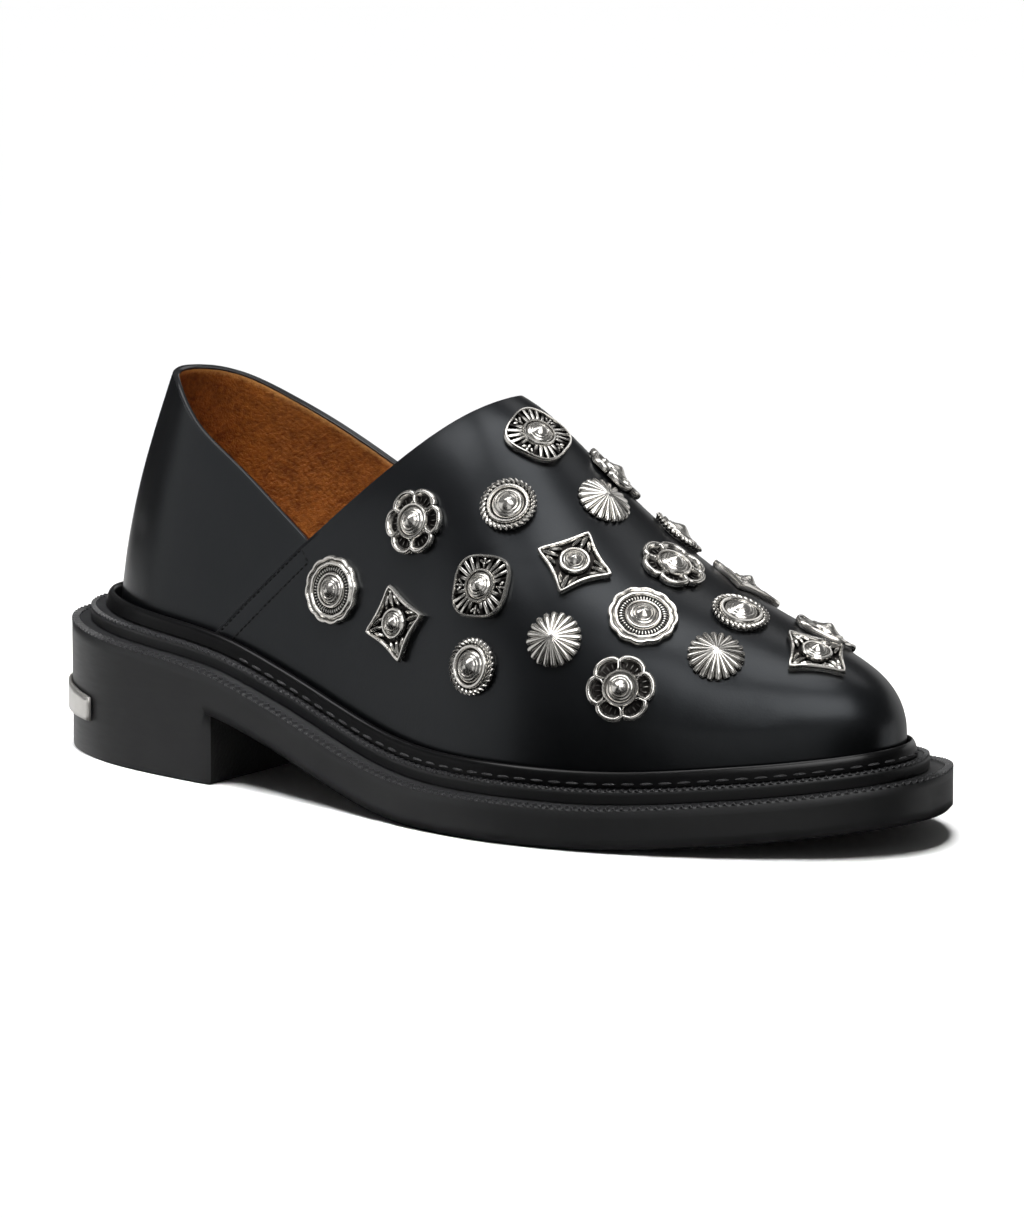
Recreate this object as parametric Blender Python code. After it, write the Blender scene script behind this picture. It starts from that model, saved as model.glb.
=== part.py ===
"""Right slip-on loafer: a high-vamp leather upper on a welted double sole with a block heel.

Metres, +X to the toe, +Y to the inner side of the foot, +Z up. The shoe stands on its heel
and forefoot at Z = 0. Sizes and tables are in millimetres and become metres in add_solid.
"""

import math

import bmesh
import bpy
import numpy as np
from mathutils import Matrix, Vector
from mathutils.bvhtree import BVHTree

MM = 0.001
OUTER, INNER = -1, 1

# Sole. Each layer stands out from the upper by ledges of three widths: at heel, side and toe.
GAP = 0.3
OUTSOLE_THICKNESS = 11.3
MIDSOLE_THICKNESS = 3.6
WELT_HEIGHT = 4.5
WELT_LEDGE = (3.6, 3.6, 3.2)
MIDSOLE_LEDGE = (8.5, 6.0, 7.0)
OUTSOLE_LEDGE = (14.0, 12.4, 13.4)
LEDGE_ENDS = (-120.0, -40.0, 40.0, 120.0)
EDGE_ROUND = 1.0
WELT_ROUND = 0.8
INSOLE_THICKNESS = 3.0
INSOLE_CLEARANCE = 0.9
HEEL_BREAST_X = -66.0

# Upper
QUARTER_WALL = 2.0
VAMP_STEP = 0.8
SEAM_FOOT_X = -77.5

# Spring of the collar outwards round the heel: how far, and the shares between which it fades
COLLAR_FLARE = 2.4
FLARE_ENDS = (0.08, 0.14)
FLARE_POWER = 5

# Plate on the back of the heel
PLATE_REACH = 0.38
PLATE_BOTTOM = 10.5
PLATE_HEIGHT = 7.0
PLATE_ARCH = 1.6
PLATE_THICKNESS = 1.0

# Closed outline of the upper where it meets the midsole, from the heel round the outer side
OUTLINE_COLUMNS = ("x", "y")
OUTLINE = (
    (-127.5, 3.0),
    (-112.5, -15.0),
    (-89.0, -23.2),
    (-45.0, -30.0),
    (-1.0, -38.5),
    (33.5, -44.0),
    (75.0, -35.0),
    (107.0, -18.0),
    (126.5, 5.0),
    (117.5, 24.0),
    (91.0, 33.5),
    (50.5, 37.5),
    (8.0, 29.2),
    (-41.0, 21.6),
    (-91.5, 24.3),
    (-114.5, 20.5),
)
TOE_KNOT = 8

# Underside of the outsole along the shoe: heel seat, arch, flat tread and toe spring
SOLE_LINE_COLUMNS = ("x", "z")
SOLE_LINE = (
    (-142.0, 25.4),
    (-76.0, 21.4),
    (-42.0, 12.8),
    (-20.0, 5.8),
    (-2.0, 1.5),
    (16.0, 0.0),
    (58.0, 0.0),
    (100.0, 3.1),
    (140.0, 8.2),
)

# Height of the ridge over the middle of the foot. Behind the peak of the vamp it is where the
# ridge would run if the upper weren't cut open.
RIDGE_COLUMNS = ("x", "z")
RIDGE = (
    (-130.0, 116.0),
    (-60.0, 114.0),
    (-15.0, 112.5),
    (9.0, 108.3),
    (22.0, 99.8),
    (42.0, 82.7),
    (64.0, 67.0),
    (84.0, 58.2),
    (100.0, 53.2),
    (126.0, 52.0),
)

# Sections of the upper, by their share of the way round from heel to toe. Each climbs from
# the outline to the ridge at ridge_x, or to a point rise above it. tilt 1 keeps the section
# in one sloping plane, and tilt 0 makes it lean over its foot.
SECTION_COLUMNS = ("share", "ridge_x", "ridge_y", "rise", "tilt", "belly", "fullness")
SECTIONS = (
    (0.00, -64.0, 3.0, 24.0, 0.15, 0.0, 2.0),
    (0.11, -56.0, 3.0, 16.0, 0.35, 1.5, 2.0),
    (0.21, 6.0, 3.0, 0.0, 1.00, 2.5, 2.35),
    (0.38, 24.0, 4.0, 0.0, 1.00, 2.5, 2.25),
    (0.56, 46.0, 5.0, 0.0, 0.90, 2.5, 2.15),
    (0.78, 77.0, 5.0, 0.0, 0.30, 3.0, 2.2),
    (1.00, 78.0, 5.0, 0.0, 0.00, 3.0, 2.5),
)
TOE_FAN_SHARE = 0.78

# Collar of the quarter, seen from the side, from the heel to the bottom of the side notch
COLLAR_COLUMNS = ("x", "outer_z", "inner_z")
COLLAR = (
    (-114.0, 109.0, 109.0),
    (-104.0, 107.5, 108.5),
    (-85.0, 94.0, 101.7),
    (-68.0, 84.5, 95.0),
    (-54.0, 75.5, 88.0),
    (-43.0, 68.7, 82.0),
)

# Outlines of the cast studs. corner_power under 2 makes a square with hollow sides, 2 a circle
# and over 2 a rounded square. Lobes of lobe_depth are cut into it.
KIND_OUTLINE_COLUMNS = ("diameter", "points", "corner_power", "lobes", "lobe_depth", "lobe_round")
KIND_OUTLINES = {
    "flower": (18.8, 24, 2.0, 6, 0.18, 0.5),
    "rope": (15.8, 20, 2.0, 0, 0.0, 1.0),
    "scallop": (19.2, 20, 2.0, 10, 0.06, 1.0),
    "star": (21.6, 16, 0.85, 0, 0.0, 1.0),
    "rosette": (15.4, 32, 2.0, 16, 0.1, 1.0),
    "ray": (19.8, 16, 3.0, 0, 0.0, 1.0),
}

# Faces of the studs: a raised edge, a dish inside it and a cone in the middle. Heights are
# over the flat back.
KIND_FACE_COLUMNS = ("edge_height", "dish_share", "dish_height", "cone_height")
KIND_FACES = {
    "flower": (2.0, 0.50, 2.2, 3.8),
    "rope": (1.9, 0.52, 2.2, 3.8),
    "scallop": (1.9, 0.50, 2.1, 3.4),
    "star": (2.0, 0.44, 2.2, 3.8),
    "rosette": (1.3, 0.00, 0.0, 3.6),
    "ray": (1.9, 0.46, 2.2, 3.8),
}

# Places of the studs on the vamp, by section and climb. spin turns the first lobe or corner
# from the direction of the toe.
STUD_COLUMNS = ("kind", "side", "share", "climb", "spin_degrees")
STUDS = (
    ("ray", OUTER, 0.345, 0.87, 20.0),
    ("rope", OUTER, 0.445, 0.585, 0.0),
    ("flower", OUTER, 0.345, 0.375, 30.0),
    ("scallop", OUTER, 0.305, 0.17, 0.0),
    ("star", OUTER, 0.415, 0.185, 38.0),
    ("ray", OUTER, 0.505, 0.37, 35.0),
    ("rope", OUTER, 0.55, 0.205, 0.0),
    ("rosette", OUTER, 0.63, 0.39, 0.0),
    ("star", OUTER, 0.585, 0.635, 30.0),
    ("rosette", OUTER, 0.515, 0.905, 0.0),
    ("flower", OUTER, 0.655, 0.92, 10.0),
    ("scallop", OUTER, 0.70, 0.63, 0.0),
    ("flower", OUTER, 0.725, 0.33, 20.0),
    ("rosette", OUTER, 0.83, 0.565, 0.0),
    ("rope", OUTER, 0.87, 0.86, 0.0),
    ("star", OUTER, 0.97, 0.655, 27.0),
    ("flower", INNER, 0.465, 0.79, 0.0),
    ("rope", INNER, 0.60, 0.76, 0.0),
    ("star", INNER, 0.72, 0.74, 20.0),
    ("ray", INNER, 0.91, 0.68, 45.0),
    ("rope", INNER, 0.27, 0.42, 0.0),
    ("star", INNER, 0.46, 0.36, 0.0),
    ("scallop", INNER, 0.59, 0.38, 0.0),
    ("rosette", INNER, 0.72, 0.36, 0.0),
)

# How finely the solids are cut
SHARP_ANGLE = math.radians(35.0)
QUARTER_STEPS = 13
VAMP_STEPS = 16
TOE_STEPS = 9
WALL_ROWS = 6
CROWN_ROWS = 7
HEEL_STEPS = 14
SEAT_RINGS = 4
SEAT_TURNS = 16

# Steps over which directions on the outline and the upper are taken, and rounds of halving
OUTLINE_PROBE = 0.05
SHARE_PROBE = 0.004
SOLVE_ROUNDS = 40

# Finishes, by the names of the materials
FINISH_COLUMNS = ("colour", "roughness", "metallic")
FINISHES = {
    "outsole_rubber": ((0.022, 0.022, 0.023), 0.55, 0.0),
    "heel_rubber": ((0.022, 0.022, 0.023), 0.55, 0.0),
    "midsole_leather": ((0.016, 0.016, 0.017), 0.5, 0.0),
    "welt_leather": ((0.014, 0.014, 0.015), 0.45, 0.0),
    "insole_leather": ((0.36, 0.16, 0.05), 0.8, 0.0),
    "upper_leather": ((0.012, 0.012, 0.014), 0.4, 0.0),
    "heel_plate_metal": ((0.7, 0.69, 0.67), 0.25, 1.0),
    "stud_metal": ((0.72, 0.7, 0.67), 0.25, 1.0),
}


def cubic(knots, values, closed=False):
    """Smooth curve through the values: level at both ends, or running round if closed."""
    knots = np.asarray(knots, float)
    values = np.asarray(values, float)
    count = len(knots)
    gaps = np.diff(knots)
    rises = np.diff(values) / gaps
    system = np.zeros((count, count))
    wanted = np.zeros(count)
    for i in range(1, count - 1):
        system[i, i - 1 : i + 2] = gaps[i - 1], 2 * (gaps[i - 1] + gaps[i]), gaps[i]
        wanted[i] = 6 * (rises[i] - rises[i - 1])
    if closed:
        system[0, [0, -1]] = 1, -1
        system[-1, [0, 1]] = 2 * gaps[0], gaps[0]
        system[-1, [-2, -1]] = gaps[-1], 2 * gaps[-1]
        wanted[-1] = 6 * (rises[0] - rises[-1])
    else:
        system[0, :2] = 2 * gaps[0], gaps[0]
        system[-1, -2:] = gaps[-1], 2 * gaps[-1]
        wanted[0] = 6 * rises[0]
        wanted[-1] = -6 * rises[-1]
    bends = np.linalg.solve(system, wanted)

    def curve(at):
        at = min(max(at, knots[0]), knots[-1])
        i = min(max(int(np.searchsorted(knots, at)) - 1, 0), count - 2)
        before = (knots[i + 1] - at) / gaps[i]
        after = 1 - before
        pull = (before**3 - before) * bends[i] + (after**3 - after) * bends[i + 1]
        return before * values[i] + after * values[i + 1] + pull * gaps[i] ** 2 / 6

    return curve


def steady(knots, values, level_ends=False):
    """Curve that never overshoots its values, so that level stretches stay level."""
    knots = np.asarray(knots, float)
    rises = np.diff(values) / np.diff(knots)
    slopes = np.zeros(len(knots))
    if not level_ends:
        slopes[0], slopes[-1] = rises[0], rises[-1]
    for i in range(1, len(knots) - 1):
        if rises[i - 1] * rises[i] > 0:
            slopes[i] = 2 / (1 / rises[i - 1] + 1 / rises[i])

    def curve(at):
        inside = min(max(at, knots[0]), knots[-1])
        i = min(max(int(np.searchsorted(knots, inside)) - 1, 0), len(knots) - 2)
        width = knots[i + 1] - knots[i]
        s = (inside - knots[i]) / width
        height = (1 + 2 * s) * (1 - s) ** 2 * values[i] + s**2 * (3 - 2 * s) * values[i + 1]
        height += width * (s * (1 - s) ** 2 * slopes[i] - s**2 * (1 - s) * slopes[i + 1])
        return height + (at - inside) * (slopes[0] if at < inside else slopes[-1])

    return curve


def columns(names, table):
    """Columns of a table, by name."""
    return dict(zip(names, zip(*table)))


def named(names, row):
    """Values of one row of a table, by column."""
    return dict(zip(names, row))


def closed_outline():
    """Curves x and y of the upper's outline, and its length to the toe and all round."""
    outline = columns(OUTLINE_COLUMNS, OUTLINE + OUTLINE[:1])
    steps = np.hypot(np.diff(outline["x"]), np.diff(outline["y"]))
    knots = np.concatenate([[0], np.cumsum(steps)])
    along_x = cubic(knots, outline["x"], closed=True)
    along_y = cubic(knots, outline["y"], closed=True)
    return along_x, along_y, knots[TOE_KNOT], knots[-1]


def side_curve(names, table, height, curve):
    """Curve of one height column over x."""
    line = columns(names, table)
    return curve(line["x"], line[height])


def section_curves():
    """Curve of each section column over the share of the way round."""
    sections = columns(SECTION_COLUMNS, SECTIONS)
    return {
        name: steady(sections["share"], values, level_ends=True)
        for name, values in sections.items()
    }


OUTLINE_X, OUTLINE_Y, TOE_LENGTH, ROUND_LENGTH = closed_outline()
sole_line = side_curve(SOLE_LINE_COLUMNS, SOLE_LINE, "z", steady)
ridge_height = side_curve(RIDGE_COLUMNS, RIDGE, "z", cubic)
COLLAR_HEIGHT = {
    OUTER: side_curve(COLLAR_COLUMNS, COLLAR, "outer_z", steady),
    INNER: side_curve(COLLAR_COLUMNS, COLLAR, "inner_z", steady),
}
SECTION_CURVES = section_curves()


def solve(rises_past, low, high):
    """Value between low and high at which rises_past turns true."""
    for _ in range(SOLVE_ROUNDS):
        middle = (low + high) / 2
        if rises_past(middle):
            high = middle
        else:
            low = middle
    return low


def ledge_at(ledge, x):
    """Ledge width at x, eased from the side's value to those of heel and toe."""
    heel, side, toe = ledge
    heel_end, heel_start, toe_start, toe_end = LEDGE_ENDS
    return float(np.interp(x, (heel_end, heel_start, toe_start, toe_end), (heel, side, side, toe)))


def outline_point(side, share, ledge=(0.0, 0.0, 0.0)):
    """(x, y) on the outline pushed out by the ledge, and the outward direction there."""
    if side == OUTER:
        length = TOE_LENGTH * share
    else:
        length = ROUND_LENGTH - (ROUND_LENGTH - TOE_LENGTH) * share
    ahead = (length + OUTLINE_PROBE) % ROUND_LENGTH
    behind = (length - OUTLINE_PROBE) % ROUND_LENGTH
    way = np.array([OUTLINE_X(ahead) - OUTLINE_X(behind), OUTLINE_Y(ahead) - OUTLINE_Y(behind)])
    way /= np.linalg.norm(way)
    outward = np.array([way[1], -way[0]])
    foot = np.array([OUTLINE_X(length % ROUND_LENGTH), OUTLINE_Y(length % ROUND_LENGTH)])
    return foot + ledge_at(ledge, foot[0]) * outward, outward


def widen(ledge, extra):
    return tuple(width + extra for width in ledge)


def outsole_top(x):
    return sole_line(x) + OUTSOLE_THICKNESS


def midsole_top(x):
    return outsole_top(x) + GAP + MIDSOLE_THICKNESS


def upper_point(side, share, climb):
    """Point of the upper's outer face. climb runs from 0 at the midsole to 1 at the ridge."""
    (x0, y0), outward = outline_point(side, share)
    row = {name: curve(share) for name, curve in SECTION_CURVES.items()}
    z0 = midsole_top(x0) + GAP
    angle = climb * math.pi / 2
    across = 1 - max(math.cos(angle), 0.0) ** (2 / row["fullness"])
    up = math.sin(angle) ** (2 / row["fullness"])
    lean = (1 - row["tilt"]) * across + row["tilt"] * up
    belly = row["belly"] * math.sin(2 * angle) * math.cos(angle)
    x = x0 + (row["ridge_x"] - x0) * lean + belly * outward[0]
    y = y0 + (row["ridge_y"] - y0) * across + belly * outward[1]
    z = z0 + (ridge_height(x) + row["rise"] - z0) * up
    return np.array([x, y, z])


SEAM_SHARE = solve(lambda share: outline_point(OUTER, share)[0][0] > SEAM_FOOT_X, 0.0, 0.5)


def collar_climb(side, share):
    """Climb at which a quarter section meets the collar."""

    def is_above(climb):
        x, _, z = upper_point(side, share, climb)
        return z > COLLAR_HEIGHT[side](x)

    return solve(is_above, 0.0, 1.0)


def vamp_climbs(side):
    """Rows of the vamp's sections: up the wall to the side notch, then over the crown."""
    notch = collar_climb(side, SEAM_SHARE)
    wall = [notch * j / WALL_ROWS for j in range(WALL_ROWS)]
    return wall + [notch + (1 - notch) * j / CROWN_ROWS for j in range(CROWN_ROWS + 1)]


def toe_grid(forward, aside):
    """(share, climb) of a point of the toe, laid out as a square grid instead of a fan."""
    reach = max(forward, aside)
    if reach == 0:
        turn = 1.0
    elif aside >= forward:
        turn = 1 - 0.5 * forward / reach
    else:
        turn = 0.5 * aside / reach
    return TOE_FAN_SHARE + (1 - TOE_FAN_SHARE) * (1 - turn), 1 - reach


def foot_shares(side):
    """Shares at which the upper's foot has its points, from heel to toe."""
    shares = [SEAM_SHARE * i / QUARTER_STEPS for i in range(QUARTER_STEPS)]
    vamp = TOE_FAN_SHARE - SEAM_SHARE
    shares += [SEAM_SHARE + vamp * i / VAMP_STEPS for i in range(VAMP_STEPS)]
    shares += [toe_grid(i / TOE_STEPS, 1.0)[0] for i in range(TOE_STEPS)]
    return shares + [toe_grid(1.0, 1 - climb)[0] for climb in vamp_climbs(side)]


def finish(name):
    look = named(FINISH_COLUMNS, FINISHES[name])
    material = bpy.data.materials.new(name)
    material.use_nodes = True
    shader = material.node_tree.nodes["Principled BSDF"]
    shader.inputs["Base Color"].default_value = (*look["colour"], 1.0)
    shader.inputs["Roughness"].default_value = look["roughness"]
    shader.inputs["Metallic"].default_value = look["metallic"]
    return material


def add_solid(name, points, faces, material):
    """One closed mesh object from points in millimetres."""
    mesh = bpy.data.meshes.new(name)
    mesh.from_pydata((np.asarray(points) * MM).tolist(), [], faces)
    shape = bmesh.new()
    shape.from_mesh(mesh)
    bmesh.ops.recalc_face_normals(shape, faces=shape.faces)
    shape.to_mesh(mesh)
    shape.free()
    mesh.shade_smooth()
    mesh.set_sharp_from_angle(angle=SHARP_ANGLE)
    mesh.materials.append(material)
    solid = bpy.data.objects.new(name, mesh)
    bpy.context.scene.collection.objects.link(solid)
    return solid


FOOT_PATH = [(OUTER, share) for share in foot_shares(OUTER)]
FOOT_PATH += [(INNER, share) for share in foot_shares(INNER)[-2:0:-1]]


def outline_ring(ledge, height, path=FOOT_PATH):
    """Ring of points at that ledge, with height a function of x."""
    feet = [outline_point(side, share, ledge)[0] for side, share in path]
    return [(x, y, height(x)) for x, y in feet]


def bands(rings):
    """Points of a stack of rings, and the faces between neighbouring rings."""
    count = len(rings[0])
    points = [point for ring in rings for point in ring]
    faces = []
    for k in range(len(rings) - 1):
        for i in range(count):
            j = (i + 1) % count
            faces.append((k * count + i, k * count + j, (k + 1) * count + j, (k + 1) * count + i))
    return points, faces


def cross_caps(rings, start):
    """Faces that close the first and last ring, laid across from side to side.

    start 1 is for a ring whose first point lies on the middle line, start 0 for one that
    has a straight edge there.
    """
    count = len(rings[0])
    faces = []
    for base in (0, (len(rings) - 1) * count):
        for i in range(count // 2):
            quad = (i, i + 1, (start + count - i - 2) % count, (start + count - i - 1) % count)
            face = tuple(dict.fromkeys(base + p for p in quad))
            if len(face) > 2:
                faces.append(face)
    return faces


def plate(name, rings, material):
    points, faces = bands(rings)
    return add_solid(name, points, faces + cross_caps(rings, 1), material)


def make_outsole(material):
    """Sole with its lower edge rounded off ahead of the heel."""
    square = outline_ring(OUTSOLE_LEDGE, sole_line)
    rounded = outline_ring(widen(OUTSOLE_LEDGE, -EDGE_ROUND), sole_line)
    rings = [
        [r if r[0] > HEEL_BREAST_X else q for q, r in zip(square, rounded)],
        outline_ring(OUTSOLE_LEDGE, lambda x: sole_line(x) + EDGE_ROUND),
        outline_ring(OUTSOLE_LEDGE, lambda x: outsole_top(x) - EDGE_ROUND / 2),
        outline_ring(widen(OUTSOLE_LEDGE, -EDGE_ROUND / 2), outsole_top),
    ]
    return plate("outsole", rings, material)


def make_midsole(material):
    rings = [
        outline_ring(MIDSOLE_LEDGE, lambda x: outsole_top(x) + GAP),
        outline_ring(MIDSOLE_LEDGE, lambda x: midsole_top(x) - EDGE_ROUND / 2),
        outline_ring(widen(MIDSOLE_LEDGE, -EDGE_ROUND / 2), midsole_top),
    ]
    return plate("midsole", rings, material)


def make_insole(material):
    ledge = (-QUARTER_WALL - INSOLE_CLEARANCE,) * 3
    rings = [
        outline_ring(ledge, lambda x: midsole_top(x) + GAP),
        outline_ring(ledge, lambda x: midsole_top(x) + GAP + INSOLE_THICKNESS),
    ]
    return plate("insole", rings, material)


def make_storm_welt(material):
    """Raised lip all round the foot of the upper."""
    inner = (GAP + VAMP_STEP,) * 3
    section = (
        (inner, GAP),
        (widen(WELT_LEDGE, WELT_ROUND), GAP),
        (WELT_LEDGE, WELT_HEIGHT - WELT_ROUND),
        (widen(WELT_LEDGE, -WELT_ROUND), WELT_HEIGHT),
        (widen(inner, WELT_ROUND), WELT_HEIGHT),
    )
    rings = [outline_ring(ledge, lambda x, h=h: midsole_top(x) + h) for ledge, h in section]
    points, faces = bands(rings + rings[:1])
    count = len(rings) * len(FOOT_PATH)
    faces = [tuple(p % count for p in face) for face in faces]
    return add_solid("storm_welt", points[:count], faces, material)


def heel_path():
    """(side, share) pairs round the heel from breast to breast."""

    def is_past(side):
        return lambda share: outline_point(side, share, OUTSOLE_LEDGE)[0][0] > HEEL_BREAST_X

    ends = {side: solve(is_past(side), 0.0, 0.5) for side in (OUTER, INNER)}
    path = [(OUTER, ends[OUTER] * (1 - i / HEEL_STEPS)) for i in range(HEEL_STEPS)]
    return path + [(INNER, ends[INNER] * i / HEEL_STEPS) for i in range(HEEL_STEPS + 1)]


def make_heel(material):
    path = heel_path()
    rings = [
        outline_ring(widen(OUTSOLE_LEDGE, -EDGE_ROUND / 2), lambda x: 0.0, path),
        outline_ring(OUTSOLE_LEDGE, lambda x: EDGE_ROUND / 2, path),
        outline_ring(OUTSOLE_LEDGE, lambda x: sole_line(x) - GAP, path),
    ]
    points, faces = bands(rings)
    return add_solid("heel", points, faces + cross_caps(rings, 0), material)


def make_heel_plate(material):
    """Thin curved plate with an arched top, wrapped round the back of the heel."""
    path = heel_path()
    skip = round(len(path) * (1 - PLATE_REACH) / 2)
    path = path[skip : len(path) - skip]
    rings = []
    for i, (side, share) in enumerate(path):
        along = 2 * i / (len(path) - 1) - 1
        top = PLATE_BOTTOM + PLATE_HEIGHT + PLATE_ARCH * math.cos(along * math.pi / 2)
        back, _ = outline_point(side, share, widen(OUTSOLE_LEDGE, GAP))
        face, _ = outline_point(side, share, widen(OUTSOLE_LEDGE, GAP + PLATE_THICKNESS))
        rings.append([(*back, PLATE_BOTTOM), (*back, top), (*face, top), (*face, PLATE_BOTTOM)])
    points, faces = bands(rings)
    last = 4 * (len(rings) - 1)
    faces += [(0, 1, 2, 3), (last, last + 1, last + 2, last + 3)]
    return add_solid("heel_plate", points, faces, material)


def grid_faces(index):
    """Quads of a grid of point numbers, leaving out corners that coincide."""
    faces = []
    for i in range(index.shape[0] - 1):
        for j in range(index.shape[1] - 1):
            quad = (index[i, j], index[i + 1, j], index[i + 1, j + 1], index[i, j + 1])
            faces.append(tuple(int(p) for p in quad))
    return faces


def outward_normals(points, faces):
    """Normal of the surface at each point, out of the shoe."""
    normals = np.zeros_like(points)
    for a, b, c, d in faces:
        normals[[a, b, c, d]] += np.cross(points[c] - points[a], points[d] - points[b])
    normals /= np.linalg.norm(normals, axis=1)[:, None]
    away = points - points.mean(axis=0)
    return normals if np.sum(normals * away) > 0 else -normals


def vamp_grid():
    """Rows of points over the vamp, from the side seams and topline to the toe."""
    across = [(OUTER, climb) for climb in vamp_climbs(OUTER)]
    across += [(INNER, climb) for climb in vamp_climbs(INNER)[-2::-1]]
    rows = []
    for i in range(VAMP_STEPS):
        share = SEAM_SHARE + (TOE_FAN_SHARE - SEAM_SHARE) * i / VAMP_STEPS
        rows.append([upper_point(side, share, climb) for side, climb in across])
    for i in range(TOE_STEPS + 1):
        places = [(side, toe_grid(i / TOE_STEPS, 1 - climb)) for side, climb in across]
        rows.append([upper_point(side, *place) for side, place in places])
    return np.array(rows)


def quarter_point(side, share, climb, rise):
    """Point of the quarter, sprung outwards as rise nears 1 at the collar."""
    point = upper_point(side, share, climb)
    _, outward = outline_point(side, share)
    flare = COLLAR_FLARE * float(np.interp(share, FLARE_ENDS, (1, 0))) * rise**FLARE_POWER
    point[:2] += flare * outward
    return point


def quarter_grid():
    """Columns of points from foot to collar, round the heel from seam to seam."""
    turns = [(OUTER, i) for i in range(QUARTER_STEPS, 0, -1)]
    turns += [(INNER, i) for i in range(QUARTER_STEPS + 1)]
    posts = []
    for side, i in turns:
        share = SEAM_SHARE * i / QUARTER_STEPS
        top = collar_climb(side, share)
        rises = [j / WALL_ROWS for j in range(WALL_ROWS + 1)]
        posts.append([quarter_point(side, share, top * rise, rise) for rise in rises])
    return np.array(posts)


def make_upper(material):
    """Hollow upper: the vamp stands a step proud of the quarter along the side seams."""
    vamp, quarter = vamp_grid(), quarter_grid()
    height = quarter.shape[1]
    vamp_at = np.arange(vamp.shape[0] * vamp.shape[1]).reshape(vamp.shape[:2])
    quarter_at = vamp_at.size + np.arange(quarter[:, :, 0].size).reshape(quarter.shape[:2])
    outer_seam, inner_seam = vamp_at[0, :height], vamp_at[0, ::-1][:height]
    quarter_at[0], quarter_at[-1] = outer_seam, inner_seam
    points = np.concatenate([vamp.reshape(-1, 3), quarter.reshape(-1, 3)])
    vamp_faces = grid_faces(vamp_at)
    quarter_faces = grid_faces(quarter_at[:, ::-1])
    used = np.unique(np.concatenate([vamp_at.ravel(), quarter_at.ravel()]))
    normals = np.zeros_like(points)
    number = np.full(len(points), -1)
    number[used] = np.arange(len(used))
    faces = [[int(number[p]) for p in face] for face in vamp_faces + quarter_faces]
    normals[used] = outward_normals(points[used], faces)
    feet = np.concatenate([vamp_at[:, 0], vamp_at[:, -1], vamp_at[-1], quarter_at[:, 0]])
    normals[feet, 2] = 0
    normals[feet] /= np.linalg.norm(normals[feet], axis=1)[:, None]

    flush, lining, proud = 0, len(points), 2 * len(points)
    layers = [points, points - QUARTER_WALL * normals, points + VAMP_STEP * normals]
    solid = [[p + proud for p in face] for face in vamp_faces]
    solid += [[p + flush for p in face] for face in quarter_faces]
    solid += [[p + lining for p in face] for face in vamp_faces + quarter_faces]

    def strip(path, first, second):
        for a, b in zip(path[:-1], path[1:]):
            solid.append([int(a) + first, int(b) + first, int(b) + second, int(a) + second])

    strip(vamp_at[0, height - 1 : vamp.shape[1] - height + 1], proud, lining)
    for foot in (vamp_at[:, 0], vamp_at[:, -1], vamp_at[-1]):
        strip(foot, proud, lining)
    strip(quarter_at[:, 0], flush, lining)
    strip(quarter_at[:, -1], flush, lining)
    for seam in (outer_seam, inner_seam):
        strip(seam, flush, proud)
        for end in (int(seam[0]), int(seam[-1])):
            solid.append([end + flush, end + proud, end + lining])
    used = sorted({p for face in solid for p in face})
    place = {p: i for i, p in enumerate(used)}
    faces = [[place[p] for p in face] for face in solid]
    return add_solid("upper", np.concatenate(layers)[used], faces, material)


def corner_outline(turn, power):
    return (abs(math.cos(turn)) ** power + abs(math.sin(turn)) ** power) ** (-1 / power)


def stud_edge(edge, turn):
    """Radius of a stud's edge at a turn from its first lobe or corner, as a share of its largest."""
    power = edge["corner_power"]
    largest = max(corner_outline(0.0, power), corner_outline(math.pi / 4, power))
    lobe = abs(math.cos(edge["lobes"] / 2 * turn)) ** edge["lobe_round"]
    return corner_outline(turn, power) / largest * (1 - edge["lobe_depth"] * (1 - lobe))


def stud_shape(kind):
    """Points and faces of a stud on its back at the origin, facing +Z."""
    edge = named(KIND_OUTLINE_COLUMNS, KIND_OUTLINES[kind])
    face = named(KIND_FACE_COLUMNS, KIND_FACES[kind])
    radius, count = edge["diameter"] / 2, edge["points"]
    turns = [2 * math.pi * i / count for i in range(count)]

    def ring(share, height):
        radii = [radius * share * (1 + (stud_edge(edge, turn) - 1) * share) for turn in turns]
        return [(r * math.cos(a), r * math.sin(a), height) for r, a in zip(radii, turns)]

    rings = [ring(1.0, 0.0), ring(1.0, face["edge_height"])]
    if face["dish_share"] > 0:
        rings.append(ring(face["dish_share"], face["dish_height"]))
    points, faces = bands(rings)
    tip = len(points)
    points.append((0.0, 0.0, face["cone_height"]))
    faces.append(tuple(range(count)))
    faces += [(tip - count + i, tip - count + (i + 1) % count, tip) for i in range(count)]
    return np.array(points), faces


def stud_axes(side, share, climb):
    """Directions to the toe, across and out of the upper at a stud's place."""
    ahead = upper_point(side, share + SHARE_PROBE, climb)
    behind = upper_point(side, share - SHARE_PROBE, climb)
    above = upper_point(side, share, climb + SHARE_PROBE)
    below = upper_point(side, share, climb - SHARE_PROBE)
    along = ahead - behind
    out = np.cross(along, above - below) * -side
    out /= np.linalg.norm(out)
    along -= out * np.dot(along, out)
    along /= np.linalg.norm(along)
    return along, np.cross(out, along), out


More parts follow.
